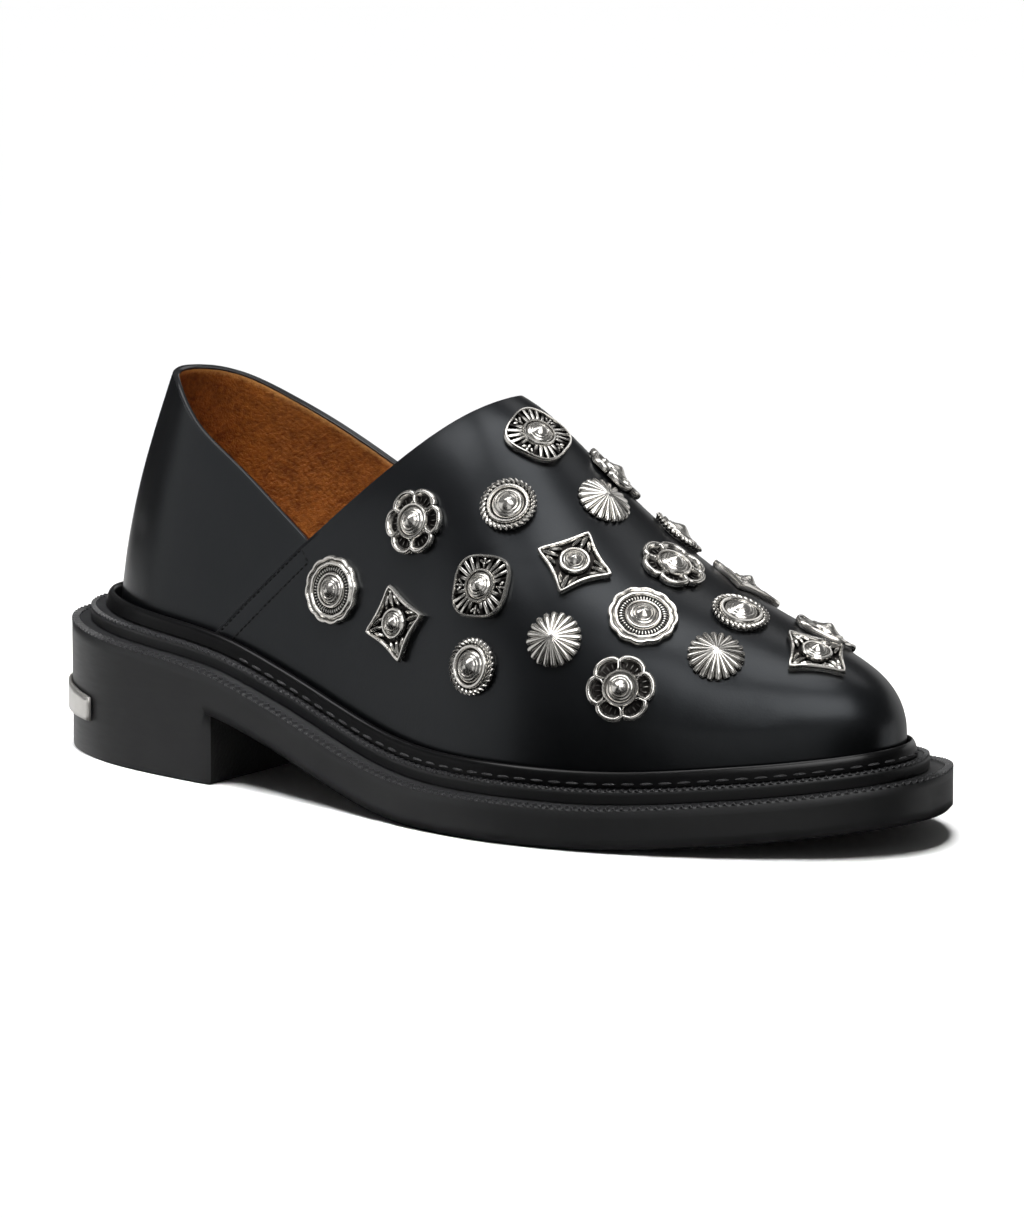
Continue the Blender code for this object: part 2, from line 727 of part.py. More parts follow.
def seat_height(skin, place, axes, radius):
    """How far the upper reaches along the stud's axis, within the stud's radius of its place."""
    along, across, out = axes
    reach = 2 * radius
    heights = []
    for ring in range(SEAT_RINGS + 1):
        for i in range(SEAT_TURNS):
            turn = 2 * math.pi * i / SEAT_TURNS
            aside = radius * ring / SEAT_RINGS * (math.cos(turn) * along + math.sin(turn) * across)
            start = place + aside + reach * out
            hit, _, _, depth = skin.ray_cast(Vector(start * MM), Vector(-out), 2 * reach * MM)
            if hit is not None:
                heights.append(reach - depth / MM)
    return max(heights)


def make_studs(upper, material):
    """Studs lying flat on the vamp, each just clear of it."""
    mesh = upper.data
    skin = BVHTree.FromPolygons([v.co for v in mesh.vertices], [p.vertices for p in mesh.polygons])
    for number, row in enumerate(STUDS, start=1):
        stud = named(STUD_COLUMNS, row)
        kind, spot = stud["kind"], (stud["side"], stud["share"], stud["climb"])
        place = upper_point(*spot)
        axes = stud_axes(*spot)
        along, across, out = axes
        radius = named(KIND_OUTLINE_COLUMNS, KIND_OUTLINES[kind])["diameter"] / 2
        place = place + (seat_height(skin, place, axes, radius) + GAP) * out
        turn = math.radians(stud["spin_degrees"])
        first = math.cos(turn) * along + math.sin(turn) * across
        second = np.cross(out, first)
        points, faces = stud_shape(kind)
        points = place + points @ np.array([first, second, out])
        add_solid(f"stud_{number:02d}_{kind}", points, faces, material)


def centre_on_origin():
    """Moves the shoe so that the middle of its box stands at the origin."""
    meshes = [solid.data for solid in bpy.context.scene.objects]
    points = np.array([v.co for mesh in meshes for v in mesh.vertices])
    low, high = points.min(axis=0), points.max(axis=0)
    shift = Matrix.Translation((-(low[0] + high[0]) / 2, -(low[1] + high[1]) / 2, -low[2]))
    for mesh in meshes:
        mesh.transform(shift)


def main():
    for old in list(bpy.data.objects):
        bpy.data.objects.remove(old)
    make_outsole(finish("outsole_rubber"))
    make_heel(finish("heel_rubber"))
    make_midsole(finish("midsole_leather"))
    make_storm_welt(finish("welt_leather"))
    make_insole(finish("insole_leather"))
    make_heel_plate(finish("heel_plate_metal"))
    upper = make_upper(finish("upper_leather"))
    make_studs(upper, finish("stud_metal"))
    centre_on_origin()


main()
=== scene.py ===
"""Looks of a right studded loafer: black calf, tan suede, dressed sole edges, stitches and studs.

Metres, +X to the toe, +Y to the inner side of the foot, +Z up. Tables and sizes that say so are
in millimetres.
"""

import math
from contextlib import contextmanager

import bmesh
import bpy
import numpy as np
from mathutils import Matrix, Vector
from mathutils.bvhtree import BVHTree


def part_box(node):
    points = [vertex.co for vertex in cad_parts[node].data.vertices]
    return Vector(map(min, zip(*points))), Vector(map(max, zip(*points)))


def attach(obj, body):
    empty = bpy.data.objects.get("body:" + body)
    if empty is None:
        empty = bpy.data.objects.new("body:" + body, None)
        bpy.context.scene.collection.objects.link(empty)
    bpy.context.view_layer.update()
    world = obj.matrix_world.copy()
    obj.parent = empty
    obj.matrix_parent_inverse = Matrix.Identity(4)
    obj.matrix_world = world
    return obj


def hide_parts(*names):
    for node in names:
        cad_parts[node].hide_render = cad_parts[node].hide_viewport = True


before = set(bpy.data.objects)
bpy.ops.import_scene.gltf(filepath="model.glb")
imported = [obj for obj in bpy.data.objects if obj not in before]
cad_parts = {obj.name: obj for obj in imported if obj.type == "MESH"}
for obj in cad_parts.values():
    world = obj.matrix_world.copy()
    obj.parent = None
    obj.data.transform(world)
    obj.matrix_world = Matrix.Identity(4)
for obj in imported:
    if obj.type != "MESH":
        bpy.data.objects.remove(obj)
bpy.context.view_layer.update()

BODY = "root"
MM = 0.001
UP = Vector((0.0, 0.0, 1.0))

# Camera at the photograph's angle, closer in on the one shoe
IMAGE_WIDTH = 1024
CAMERA_TARGET = Vector((6.6, 6.7, 50.6)) * MM
CAMERA_AZIMUTH = math.radians(35.0)
CAMERA_ELEVATION = math.radians(10.44)
CAMERA_DISTANCE = 1.893
FOCAL_PIXELS = 4868.0
CLOSER = 1.42
SENSOR_WIDTH = 36.0

# Room light: its brightness, and the rise of a direction over which it goes from dark to light
ROOM_GLOW = 0.08
ROOM_DARK_TO_LIGHT = (-0.1, 0.15)

# Softboxes, seen only in reflections: name, place, target, width and height, brightness. Low ones light
# the sole's sides even from below the floor, as reflections don't show it
SOFTBOXES = (
    ("overhead", (0.1, -0.1, 1.6), (0.04, 0.0, 0.0), (1.0, 0.8), 3.2),
    ("front_left", (-0.64, -0.65, 1.41), (0.0, 0.0, 0.1), (0.7, 0.6), 3.2),
    ("front_right", (1.0, -0.71, 1.16), (0.11, 0.0, 0.04), (1.1, 0.95), 3.4),
    ("left", (-1.3, -0.95, 0.0), (-0.1, 0.0, 0.06), (1.5, 1.3), 0.6),
    ("back_left", (-1.5, 0.45, -0.4), (-0.1, 0.0, -0.4), (1.3, 0.56), 1.15),
    ("right", (0.9, -1.3, 0.0), (0.1, 0.0, 0.04), (0.9, 0.8), 0.55),
    ("back_right", (1.3, 0.95, -0.2), (0.1, 0.0, -0.2), (1.2, 0.7), 0.9),
    ("inner_side", (0.1, 1.6, 0.1), (0.0, 0.0, 0.05), (1.8, 1.0), 0.45),
    ("behind", (0.1, 1.0, 1.4), (0.05, 0.0, 0.05), (1.0, 0.5), 1.0),
    ("camera_side", (1.35, -1.95, 1.0), (0.0, 0.0, 0.05), (2.6, 1.8), 0.08),
)

# Even wash of light from a wide sun that isn't seen in reflections
WASH_PLACE = (-0.25, 0.25, 2.0)
WASH_TARGET = (0.0, 0.0, 0.0)
WASH_GLOW = 3.5
WASH_SPREAD = math.radians(22.0)

# Small lamps over the opening, mainly for the suede: name, place and brightness
INSIDE_LAMPS = (
    ("inside_side", (-0.22, -0.34, 0.95), 1.6),
    ("inside_back", (0.16, -0.2, 0.98), 2.4),
)
INSIDE_TARGET = (-0.08, 0.01, 0.08)
INSIDE_SIZE = (0.25, 0.25)
INSIDE_SPREAD = math.radians(30.0)

# Round floor
FLOOR_RADIUS = 12.0
FLOOR_SIDES = 96

# Joining and smoothing of what is copied from the solids
JOIN_DISTANCE = 1e-6
PAIR_ANGLE = math.radians(60.0)
PAIR_SHAPE = math.radians(150.0)
PAIR_GRID = 2.0
SHARP_ANGLE = math.radians(38.0)
SOFT_LEVELS = 2

# Upper, in millimetres, but for the crease of its edges. Stitches: length, width and height
VAMP_STEP = 0.8
STEP_TOLERANCE = 0.04
MIDDLE_Y = 3.0
INSIDE_POINT = (40.0, MIDDLE_Y, 40.0)
COLLAR_CREASE = 0.7
SEAM_ROWS = (0.8, 5.4)
SEAM_PITCH = 1.9
SEAM_STITCH = (1.5, 0.7, 0.5)
SEAM_LOW = 4
SEAM_HIGH = 2
NAP_EDGE = 5.0

# Soft creases of the leather, in millimetres: from one point to another, how deep and how wide
CREASE_COLUMNS = ("start", "end", "depth", "width")
CREASES = (
    ((-122.0, 14.0, 66.0), (-106.0, -16.0, 63.0), 0.35, 2.2),
    ((-121.0, 12.0, 60.5), (-110.0, -13.0, 58.5), 0.25, 1.8),
    ((-96.0, -19.0, 80.0), (-62.0, -22.0, 62.0), 0.35, 7.0),
    ((18.0, -18.0, 92.0), (-6.0, -36.0, 52.0), 0.45, 9.0),
    ((66.0, -33.0, 40.0), (96.0, -14.0, 46.0), 0.3, 8.0),
)

# How a crease dies out: the nearest share of its run to an end, and the power of its fading
CREASE_ENDS = 0.02
CREASE_FADE = 0.7

# Slopes that tell the sole's faces apart: the part of a normal that points up, down or ahead
TOP_SLOPE = 0.8
HEEL_SEAT_SLOPE = 0.7
TREAD_SLOPE = 0.85
BREAST_SLOPE = 0.95
HEEL_BOTTOM_SLOPE = 0.99

# How firmly the sharp edges are held when a layer is softened
SOLE_CREASE = 1.0
WELT_CREASE = 0.6
PLATE_CREASE = 0.8

# Sole, in millimetres
HEEL_EDGE = 0.6
HEEL_BOTTOM = 0.1
NEAR_BREAST = 1.0

# Wheel marks: pitch, width, depth and height in millimetres, their slant, how many millimetres they
# stand out, and the shares of their height that lie below the edge and are taken off the corners
OUTSOLE_TOOTH = (2.3, 1.7, 2.3, 0.95)
MIDSOLE_TOOTH = (2.1, 1.5, 1.5, 0.75)
TOOTH_SLANT = math.radians(12.0)
TOOTH_PROUD = 0.5
TOOTH_SINK = 1 / 3
TOOTH_BEVEL = 1 / 7

# Welt stitches, in millimetres
WELT_STITCH = (3.6, 1.2, 0.8)
WELT_PITCH = 5.1
WELT_STITCH_OUT = 2.0
WELT_STITCH_UP = 1.5
WELT_STITCH_BACK = -62.0


def lone(piece):
    """Makes this the one selected and active object."""
    bpy.ops.object.select_all(action="DESELECT")
    piece.select_set(True)
    bpy.context.view_layer.objects.active = piece


@contextmanager
def editing(piece, kind="FACE"):
    """Edit mode on this piece, with nothing selected."""
    lone(piece)
    bpy.ops.object.mode_set(mode="EDIT")
    bpy.ops.mesh.select_mode(type=kind)
    bpy.ops.mesh.select_all(action="DESELECT")
    yield
    bpy.ops.object.mode_set(mode="OBJECT")


def pick(piece, parts, wanted):
    """Selects, in edit mode, the faces, edges or verts for which wanted is true."""
    shape = bmesh.from_edit_mesh(piece.data)
    shape.normal_update()
    for part in getattr(shape, parts):
        if wanted(part):
            part.select_set(True)
    bmesh.update_edit_mesh(piece.data)


def apply_modifier(piece, kind, **settings):
    lone(piece)
    modifier = piece.modifiers.new(kind.lower(), kind)
    for name, value in settings.items():
        setattr(modifier, name, value)
    bpy.ops.object.modifier_apply(modifier=modifier.name)


def soften(piece, levels=SOFT_LEVELS):
    apply_modifier(piece, "SUBSURF", levels=levels, render_levels=levels)
    bpy.ops.object.shade_smooth_by_angle(angle=SHARP_ANGLE)


def working_copy(node, name):
    """Copy of a solid with its points joined and its triangles paired into quads."""
    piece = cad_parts[node].copy()
    piece.data = piece.data.copy()
    piece.name = name
    piece.data.name = name
    piece.parent = None
    piece.matrix_world = Matrix.Identity(4)
    piece.data.materials.clear()
    bpy.context.scene.collection.objects.link(piece)
    with editing(piece):
        bpy.ops.mesh.select_all(action="SELECT")
        bpy.ops.mesh.remove_doubles(threshold=JOIN_DISTANCE)
        bpy.ops.mesh.tris_convert_to_quads(
            face_threshold=PAIR_ANGLE, shape_threshold=PAIR_SHAPE, topology_influence=PAIR_GRID
        )
    return piece


def crease_sharp(piece, amount):
    """Holds the sharp edges when the piece is softened."""
    with editing(piece, "EDGE"):
        bpy.ops.mesh.edges_select_sharp(sharpness=SHARP_ANGLE)
        bpy.ops.transform.edge_crease(value=amount)


def paint_faces(piece, finishes, choose):
    """Gives the piece its finishes, with choose(face) the number of each face's own."""
    for finish in finishes:
        piece.data.materials.append(finish)
    for face in piece.data.polygons:
        face.material_index = choose(face)


def settle(piece, slot, *nodes):
    """Fixes a finished piece to the shoe, in place of the solids it stands for."""
    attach(piece, BODY)
    if nodes:
        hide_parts(*nodes)


def border_loops(piece, wanted):
    """Closed lines of points round the faces that are wanted, longest first."""
    links, places = {}, {}
    with editing(piece):
        pick(piece, "faces", wanted)
        bpy.ops.mesh.region_to_loop()
        for edge in bmesh.from_edit_mesh(piece.data).edges:
            if edge.select:
                for here, there in (edge.verts, reversed(edge.verts)):
                    links.setdefault(here.index, []).append(there.index)
                    places[here.index] = tuple(here.co)
    loops = []
    while links:
        at = next(iter(links))
        loop = []
        while at in links:
            loop.append(places[at])
            onward = [other for other in links.pop(at) if other in links]
            at = onward[0] if onward else None
        loops.append(anticlockwise(np.array(loop)))
    return sorted(loops, key=line_length, reverse=True)


def anticlockwise(loop):
    """The same closed line, run round the shoe anticlockwise as seen from above."""
    ahead = np.roll(loop, -1, axis=0)
    turn = np.sum(loop[:, 0] * ahead[:, 1] - ahead[:, 0] * loop[:, 1])
    return loop if turn > 0 else loop[::-1]


def line_length(line):
    return float(np.linalg.norm(np.diff(line, axis=0), axis=1).sum())


def march(line, pitch, closed):
    """Even places along a line: their points and the directions along it."""
    line = np.vstack([line, line[:1]]) if closed else np.asarray(line)
    lengths = np.concatenate([[0], np.cumsum(np.linalg.norm(np.diff(line, axis=0), axis=1))])
    count = max(round(lengths[-1] / pitch), 1)
    middles = (np.arange(count) + 0.5) * lengths[-1] / count

    def at(distances):
        return np.stack([np.interp(distances, lengths, line[:, axis]) for axis in range(3)], axis=1)

    along = at(middles + pitch / 2) - at(middles - pitch / 2)
    return at(middles), along / np.linalg.norm(along, axis=1)[:, None]


def outward_of(along):
    """Level directions out of an anticlockwise line round the shoe."""
    out = np.cross(along, UP)
    return out / np.linalg.norm(out, axis=1)[:, None]


def scatter(name, unit, places, first, second):
    """One joined mesh with a copy of the unit at each place, its X and Y along two directions."""
    third = np.cross(first, second)
    axes = np.stack([first, second, third], axis=1)
    model = np.array([vertex.co for vertex in unit.data.vertices])
    points = places[:, None, :] + np.einsum("vi,nij->nvj", model, axes)
    faces = [
        [index + copy * len(model) for index in face.vertices]
        for copy in range(len(places))
        for face in unit.data.polygons
    ]
    mesh = bpy.data.meshes.new(name)
    mesh.from_pydata(points.reshape(-1, 3).tolist(), [], faces)
    piece = bpy.data.objects.new(name, mesh)
    bpy.context.scene.collection.objects.link(piece)
    bpy.data.objects.remove(unit)
    lone(piece)
    bpy.ops.object.shade_smooth_by_angle(angle=SHARP_ANGLE)
    return piece


class Value:
    """A socket in a finish. Arithmetic on it adds Math nodes."""

    def __init__(self, finish, socket):
        self.finish = finish
        self.socket = socket

    def math(self, operation, first, second):
        return self.finish.node("Math", {"operation": operation}, {0: first, 1: second})

    def __add__(self, other):
        return self.math("ADD", self, other)

    def __sub__(self, other):
        return self.math("SUBTRACT", self, other)

    def __rsub__(self, other):
        return self.math("SUBTRACT", other, self)

    def __mul__(self, other):
        return self.math("MULTIPLY", self, other)

    __radd__ = __add__
    __rmul__ = __mul__


class Finish:
    """A material under construction, on a Principled shader with these fixed sockets."""

    def __init__(self, name, **fixed):
        self.material = bpy.data.materials.new(name)
        self.material.use_nodes = True
        self.tree = self.material.node_tree
        self.shader = self.tree.nodes["Principled BSDF"]
        for socket, value in fixed.items():
            self.shader.inputs[socket.replace("_", " ")].default_value = value

    def node(self, kind, settings, sockets, output=0):
        """A node of that kind with its settings, then the values or links of its sockets."""
        made = self.tree.nodes.new("ShaderNode" + kind)
        for name, value in settings.items():
            setattr(made, name, value)
        for socket, value in sockets.items():
            self.plug(made.inputs[socket], value)
        return Value(self, made.outputs[output])

    def plug(self, socket, value):
        if isinstance(value, Value):
            self.tree.links.new(value.socket, socket)
        else:
            socket.default_value = value

    def place(self, stretch=(1.0, 1.0, 1.0), turn=(0.0, 0.0, 0.0)):
        """Object coordinates, stretched and turned."""
        spot = self.node("TexCoord", {}, {}, "Object")
        return self.node("Mapping", {}, {"Vector": spot, "Scale": stretch, "Rotation": turn})

    def noise(self, place, size, detail=2.0):
        """Noise from 0 to 1 with patches of that size in millimetres."""
        sockets = {"Vector": place, "Scale": 1.0 / (size * MM), "Detail": detail}
        return self.node("TexNoise", {}, sockets, "Fac")

    def cells(self, place, size):
        """Distance from the middle of cells of that size in millimetres."""
        sockets = {"Vector": place, "Scale": 1.0 / (size * MM)}
        return self.node("TexVoronoi", {}, sockets, "Distance")

    def mark(self, name):
        """A value stored on the piece's points."""
        return self.node("Attribute", {"attribute_name": name}, {}, "Fac")

    def spread(self, value, low, high):
        """The value's range from low to high stretched to 0 to 1."""
        sockets = {"Value": value, "From Min": low, "From Max": high}
        return self.node("MapRange", {"clamp": True}, sockets)

    def blend(self, mask, first, second):
        """Colour from first to second as the mask goes from 0 to 1."""
        sockets = {0: mask}
        for index, colour in ((6, first), (7, second)):
            sockets[index] = colour if isinstance(colour, Value) else (*colour, 1.0)
        return self.node("Mix", {"data_type": "RGBA"}, sockets, 2)

    def relief(self, height, depth, strength=1.0):
        """Bumps whose full height is depth in millimetres."""
        sockets = {"Height": height, "Distance": depth * MM, "Strength": strength}
        self.wear(Normal=self.node("Bump", {}, sockets))

    def wear(self, **varying):
        for socket, value in varying.items():
            self.plug(self.shader.inputs[socket.replace("_", " ")], value)


def black_calf():
    """Smooth black leather, satin and a little uneven over the hide, glossier on its turned edges."""
    finish = Finish("black_calf", Coat_Roughness=0.2, Specular_IOR_Level=0.38)
    finish.shader.inputs["Specular Tint"].default_value = (0.88, 0.94, 1.0, 1.0)
    place = finish.place()
    hide = finish.noise(place, 26.0, 3.0)
    haze = finish.noise(place, 5.0, 3.0)
    pores = finish.cells(place, 0.55)
    fine = finish.noise(place, 0.3)
    turned_edge = finish.spread(finish.mark("nap_edge"), 0.55, 0.7)
    finish.wear(
        Base_Color=finish.blend(hide, (0.0018, 0.0019, 0.0023), (0.0034, 0.0036, 0.0042)),
        Roughness=0.25 + 0.09 * hide + 0.05 * haze - 0.1 * turned_edge,
        Coat_Weight=0.16 * haze + 0.84 * turned_edge,
    )
    finish.relief(0.6 * pores + 0.4 * fine + 3.0 * haze, 0.03, 0.5)
    return finish.material


def tan_suede():
    """Brushed suede lining with a fuzzy pale cut edge just below the leather's turned edge."""
    finish = Finish("tan_suede", Sheen_Weight=0.25, Sheen_Roughness=0.5, Specular_IOR_Level=0.15)
    finish.shader.inputs["Sheen Tint"].default_value = (0.9, 0.45, 0.15, 1.0)
    brushed = finish.noise(finish.place((0.7, 1.0, 1.0), (0.0, 0.7, 0.0)), 4.0, 3.0)
    tufts = finish.noise(finish.place((0.75, 1.0, 1.0), (0.0, 0.5, 0.0)), 1.0, 3.0)
    fibre = finish.noise(finish.place((0.7, 1.0, 1.0), (0.0, 0.9, 0.0)), 0.35, 2.0)
    nap = finish.spread(0.5 * brushed + 0.5 * tufts, 0.34, 0.66)
    body = finish.blend(nap, (0.16, 0.042, 0.0055), (0.4, 0.127, 0.021))
    edge = finish.mark("nap_edge")
    fuzz = finish.spread(edge + 0.35 * (tufts - 0.5), 0.55, 0.82)
    cut = finish.blend(0.85 * fuzz, body, (0.68, 0.31, 0.09))
    shaded = finish.blend(0.45 * fibre, cut, (0.06, 0.017, 0.003))
    turned_edge = finish.spread(edge + 0.06 * (tufts - 0.5), 0.86, 0.9)
    finish.wear(
        Base_Color=finish.blend(turned_edge, shaded, (0.005, 0.005, 0.006)),
        Roughness=0.86 + 0.12 * tufts - 0.5 * turned_edge,
    )
    finish.relief((tufts + 0.6 * fibre) * (1.0 - turned_edge), 0.4, 0.6)
    return finish.material


def dressed_edge():
    """Inked and burnished side of the sole, with faint marks of the dressing iron."""
    finish = Finish("dressed_edge", Coat_Roughness=0.3, Specular_IOR_Level=0.4)
    strokes = finish.noise(finish.place((0.12, 0.12, 1.0)), 0.9, 3.0)
    patches = finish.noise(finish.place(), 14.0, 3.0)
    fine = finish.noise(finish.place(), 0.4)
    finish.wear(
        Base_Color=finish.blend(patches, (0.007, 0.0071, 0.0076), (0.012, 0.0122, 0.013)),
        Roughness=0.36 + 0.12 * strokes + 0.08 * patches,
        Coat_Weight=0.14 * patches,
    )
    finish.relief(0.7 * strokes + 0.3 * fine, 0.04, 0.5)
    return finish.material


def burnished_marks_painted_highlight():
    """Crests of the wheel marks, polished by the hot wheel and glossier than the edge around them, their
    colour painted lighter as a painted highlight.
    """
    finish = Finish("burnished_marks_painted_highlight", Coat_Roughness=0.12, Specular_IOR_Level=0.4)
    wax = finish.noise(finish.place(), 1.6, 3.0)
    fine = finish.noise(finish.place(), 0.4)
    finish.wear(
        # Crest colour varies at random with the wax; its range, lighter than the edge's, is a painted
        # highlight
        Base_Color=finish.blend(wax, (0.007, 0.007, 0.0075), (0.02, 0.02, 0.021)),
        Roughness=0.22 + 0.16 * wax,
        Coat_Weight=0.3 * wax,
    )
    finish.relief(0.5 * wax + 0.5 * fine, 0.05, 0.5)
    return finish.material


def tread_rubber():
    """Plain matt black rubber underneath, dusty and finely pebbled."""
    finish = Finish("tread_rubber", Specular_IOR_Level=0.1)
    place = finish.place()
    pebble = finish.cells(place, 1.1)
    dust = finish.noise(place, 7.0, 4.0)
    finish.wear(
        Base_Color=finish.blend(dust, (0.006, 0.006, 0.006), (0.014, 0.0135, 0.013)),
        Roughness=0.62 + 0.2 * dust,
    )
    finish.relief(pebble + 0.3 * dust, 0.2, 0.7)
    return finish.material


def welt_leather():
    """Waxed black welt, a little uneven, rubbed to a gloss where it faces up."""
    finish = Finish("welt_leather_black", Coat_Roughness=0.2, Specular_IOR_Level=0.12)
    place = finish.place()
    wax = finish.noise(place, 6.0, 3.0)
    fine = finish.noise(place, 0.6, 3.0)
    finish.wear(
        Base_Color=finish.blend(wax, (0.0012, 0.0012, 0.0014), (0.003, 0.003, 0.0033)),
        Roughness=0.28 + 0.12 * wax,
        Coat_Weight=0.55 * finish.spread(finish.mark("rubbed"), 0.3, 0.5),
    )
    finish.relief(0.6 * wax + 0.4 * fine, 0.12, 0.6)
    return finish.material


def waxed_thread(name, dark, light):
    """Thread with the twist of its strands."""
    finish = Finish(name, Specular_IOR_Level=0.25)
    place = finish.place((1.0, 1.0, 1.0), (0.5, 0.5, 0.7))
    strands = finish.node("TexWave", {}, {"Vector": place, "Scale": 900.0, "Distortion": 1.0}, "Fac")
    fluff = finish.noise(place, 0.5)
    finish.wear(
        Base_Color=finish.blend(fluff, dark, light),
        Roughness=0.5 + 0.2 * strands,
    )
    finish.relief(strands, 0.08, 0.8)
    return finish.material


def sock_leather():
    """Tan leather on the insole, smooth with faint pores and a worn sheen."""
    finish = Finish("sock_leather", Specular_IOR_Level=0.3)
    place = finish.place()
    hide = finish.noise(place, 18.0, 4.0)
    pores = finish.cells(place, 0.8)
    finish.wear(
        Base_Color=finish.blend(hide, (0.2, 0.075, 0.018), (0.33, 0.135, 0.036)),
        Roughness=0.55 + 0.2 * hide,
    )
    finish.relief(pores + 0.5 * hide, 0.08, 0.6)
    return finish.material


def cast_silver():
    """Antiqued silver plate: bright crests, dark oxide left in the recesses."""
    finish = Finish("cast_silver", Metallic=0.95)
    place = finish.place()
    cloud = finish.noise(place, 2.2, 4.0)
    grain = finish.noise(place, 0.35, 3.0)
    depth = finish.spread(finish.mark("tarnish") + 0.1 * (cloud - 0.5), 0.18, 0.6)
    bright = finish.blend(cloud, (0.74, 0.717, 0.675), (0.88, 0.856, 0.81))
    finish.wear(
        Base_Color=finish.blend(depth, bright, (0.02, 0.018, 0.017)),
        Roughness=0.15 + 0.1 * grain + 0.2 * depth,
    )
    finish.relief(0.5 * cloud + 0.5 * grain, 0.02, 0.35)
    return finish.material


def plate_silver():
    """Plain plate with a fine brushed grain along it."""
    finish = Finish("plate_silver", Metallic=0.86)
    brushed = finish.noise(finish.place((0.15, 0.15, 1.0)), 0.35, 3.0)
    cloud = finish.noise(finish.place(), 4.0, 3.0)
    finish.wear(
        Base_Color=finish.blend(cloud, (0.55, 0.535, 0.505), (0.68, 0.66, 0.63)),
        Roughness=0.3 + 0.12 * brushed,
    )
    finish.relief(brushed, 0.006, 0.4)
    return finish.material


def pale_floor():
    finish = Finish("pale_floor", Roughness=0.7, Specular_IOR_Level=0.1)
    finish.shader.inputs["Base Color"].default_value = (0.9, 0.9, 0.9, 1.0)
    return finish.material


def skin_of(piece):
    mesh = piece.data
    return BVHTree.FromPolygons([v.co for v in mesh.vertices], [f.vertices for f in mesh.polygons])


def press_creases(piece):
    """Presses the soft creases into the outer face of the leather."""
    points = np.array([vertex.co for vertex in piece.data.vertices])
    normals = np.array([vertex.normal for vertex in piece.data.vertices])
    for row in CREASES:
        crease = dict(zip(CREASE_COLUMNS, row))
        start, end = np.array(crease["start"]) * MM, np.array(crease["end"]) * MM
        run = end - start
        share = np.clip((points - start) @ run / (run @ run), 0.0, 1.0)
        away = np.linalg.norm(points - start - share[:, None] * run, axis=1)
        fade = np.sin(np.pi * np.clip(share, CREASE_ENDS, 1 - CREASE_ENDS)) ** CREASE_FADE
        trough = np.exp(-((away / (crease["width"] * MM)) ** 2)) * fade * crease["depth"] * MM
        points -= normals * trough[:, None]
    for vertex, point in zip(piece.data.vertices, points):
        vertex.co = point


def mark_nap_edge(piece, lining):
    """Marks how near each point lies to the edge where leather and lining meet."""
    leather = {v for face in piece.data.polygons if face.material_index != lining for v in face.vertices}
    edge = [v for face in piece.data.polygons if face.material_index == lining for v in face.vertices]
    rim = np.array([piece.data.vertices[v].co for v in set(edge) & leather])
    mark = piece.data.attributes.new("nap_edge", "FLOAT", "POINT")
    for vertex in piece.data.vertices:
        nearest = np.linalg.norm(rim - np.array(vertex.co), axis=1).min()
        mark.data[vertex.index].value = max(0.0, 1.0 - nearest / (NAP_EDGE * MM))


def make_upper(calf, suede):
    """Upper in leather outside and over its edges, with suede inside."""
    lining = 1
    shell = working_copy("upper", "upper_shell")
    for finish in (calf, suede):
        shell.data.materials.append(finish)
    _, _, roof, _ = skin_of(shell).ray_cast(Vector(INSIDE_POINT) * MM, UP)
    with editing(shell):
        pick(shell, "faces", lambda face: face.index == roof)
        bpy.ops.mesh.faces_select_linked_flat(sharpness=SHARP_ANGLE)
        shell.active_material_index = lining
        bpy.ops.object.material_slot_assign()
    seams = seam_lines(shell)
    crease_sharp(shell, COLLAR_CREASE)
    soften(shell)
    press_creases(shell)
    mark_nap_edge(shell, lining)
    settle(shell, "upper_leather", "upper")
    return shell, seams


def seam_lines(shell):
    """Back edges of the vamp, outer side and inner side, from the midsole up to the notch."""
    ends = {-1: [], 1: []}
    points = [vertex.co for vertex in shell.data.vertices]
    for edge in shell.data.edges:
        first, second = (points[index] for index in edge.vertices)
        if abs((first - second).length / MM - VAMP_STEP) < STEP_TOLERANCE:
            proud = max(first, second, key=lambda point: abs(point.y - MIDDLE_Y * MM))
            ends[1 if proud.y > MIDDLE_Y * MM else -1].append(tuple(proud))
    return [np.array(sorted(line, key=lambda point: point[2])) for line in ends.values()]


def row_beside(line, skin, inset):
    """Line over the skin at every millimetre, inset ahead of the vamp's edge and clear of its ends."""
    places, along = march(line, MM, closed=False)
    row = []
    for place, way in zip(places, along):
        _, normal, _, _ = skin.find_nearest(Vector(place) + Vector((inset * MM, 0, 0)))
        ahead = Vector(way).cross(normal).normalized()
        ahead *= math.copysign(inset * MM, ahead.x)
        row.append(skin.find_nearest(Vector(place) + ahead)[0])
    return np.array(row[SEAM_LOW:len(row) - SEAM_HIGH])


def make_seam_stitching(shell, seams, thread):
    """Two rows of fine stitches along each side seam, joined by a bar under the notch."""
    skin = skin_of(shell)
    places, along, normals = [], [], []
    for line in seams:
        rows = [row_beside(line, skin, inset) for inset in SEAM_ROWS]
        rows.append(np.array([rows[0][-1], rows[1][-1]]))
        for row in rows:
            spots, ways = march(row, SEAM_PITCH * MM, closed=False)
            for spot, way in zip(spots, ways):
                seat, normal, _, _ = skin.find_nearest(Vector(spot))
                places.append(seat)
                along.append(way)
                normals.append(normal)
    along, normals = np.array(along), np.array(normals)
    aside = np.cross(normals, along)
    aside /= np.linalg.norm(aside, axis=1)[:, None]
    piece = scatter("seam_stitching", bead(SEAM_STITCH), np.array(places), along, aside)
    piece.data.materials.append(thread)
    settle(piece, "upper_leather")


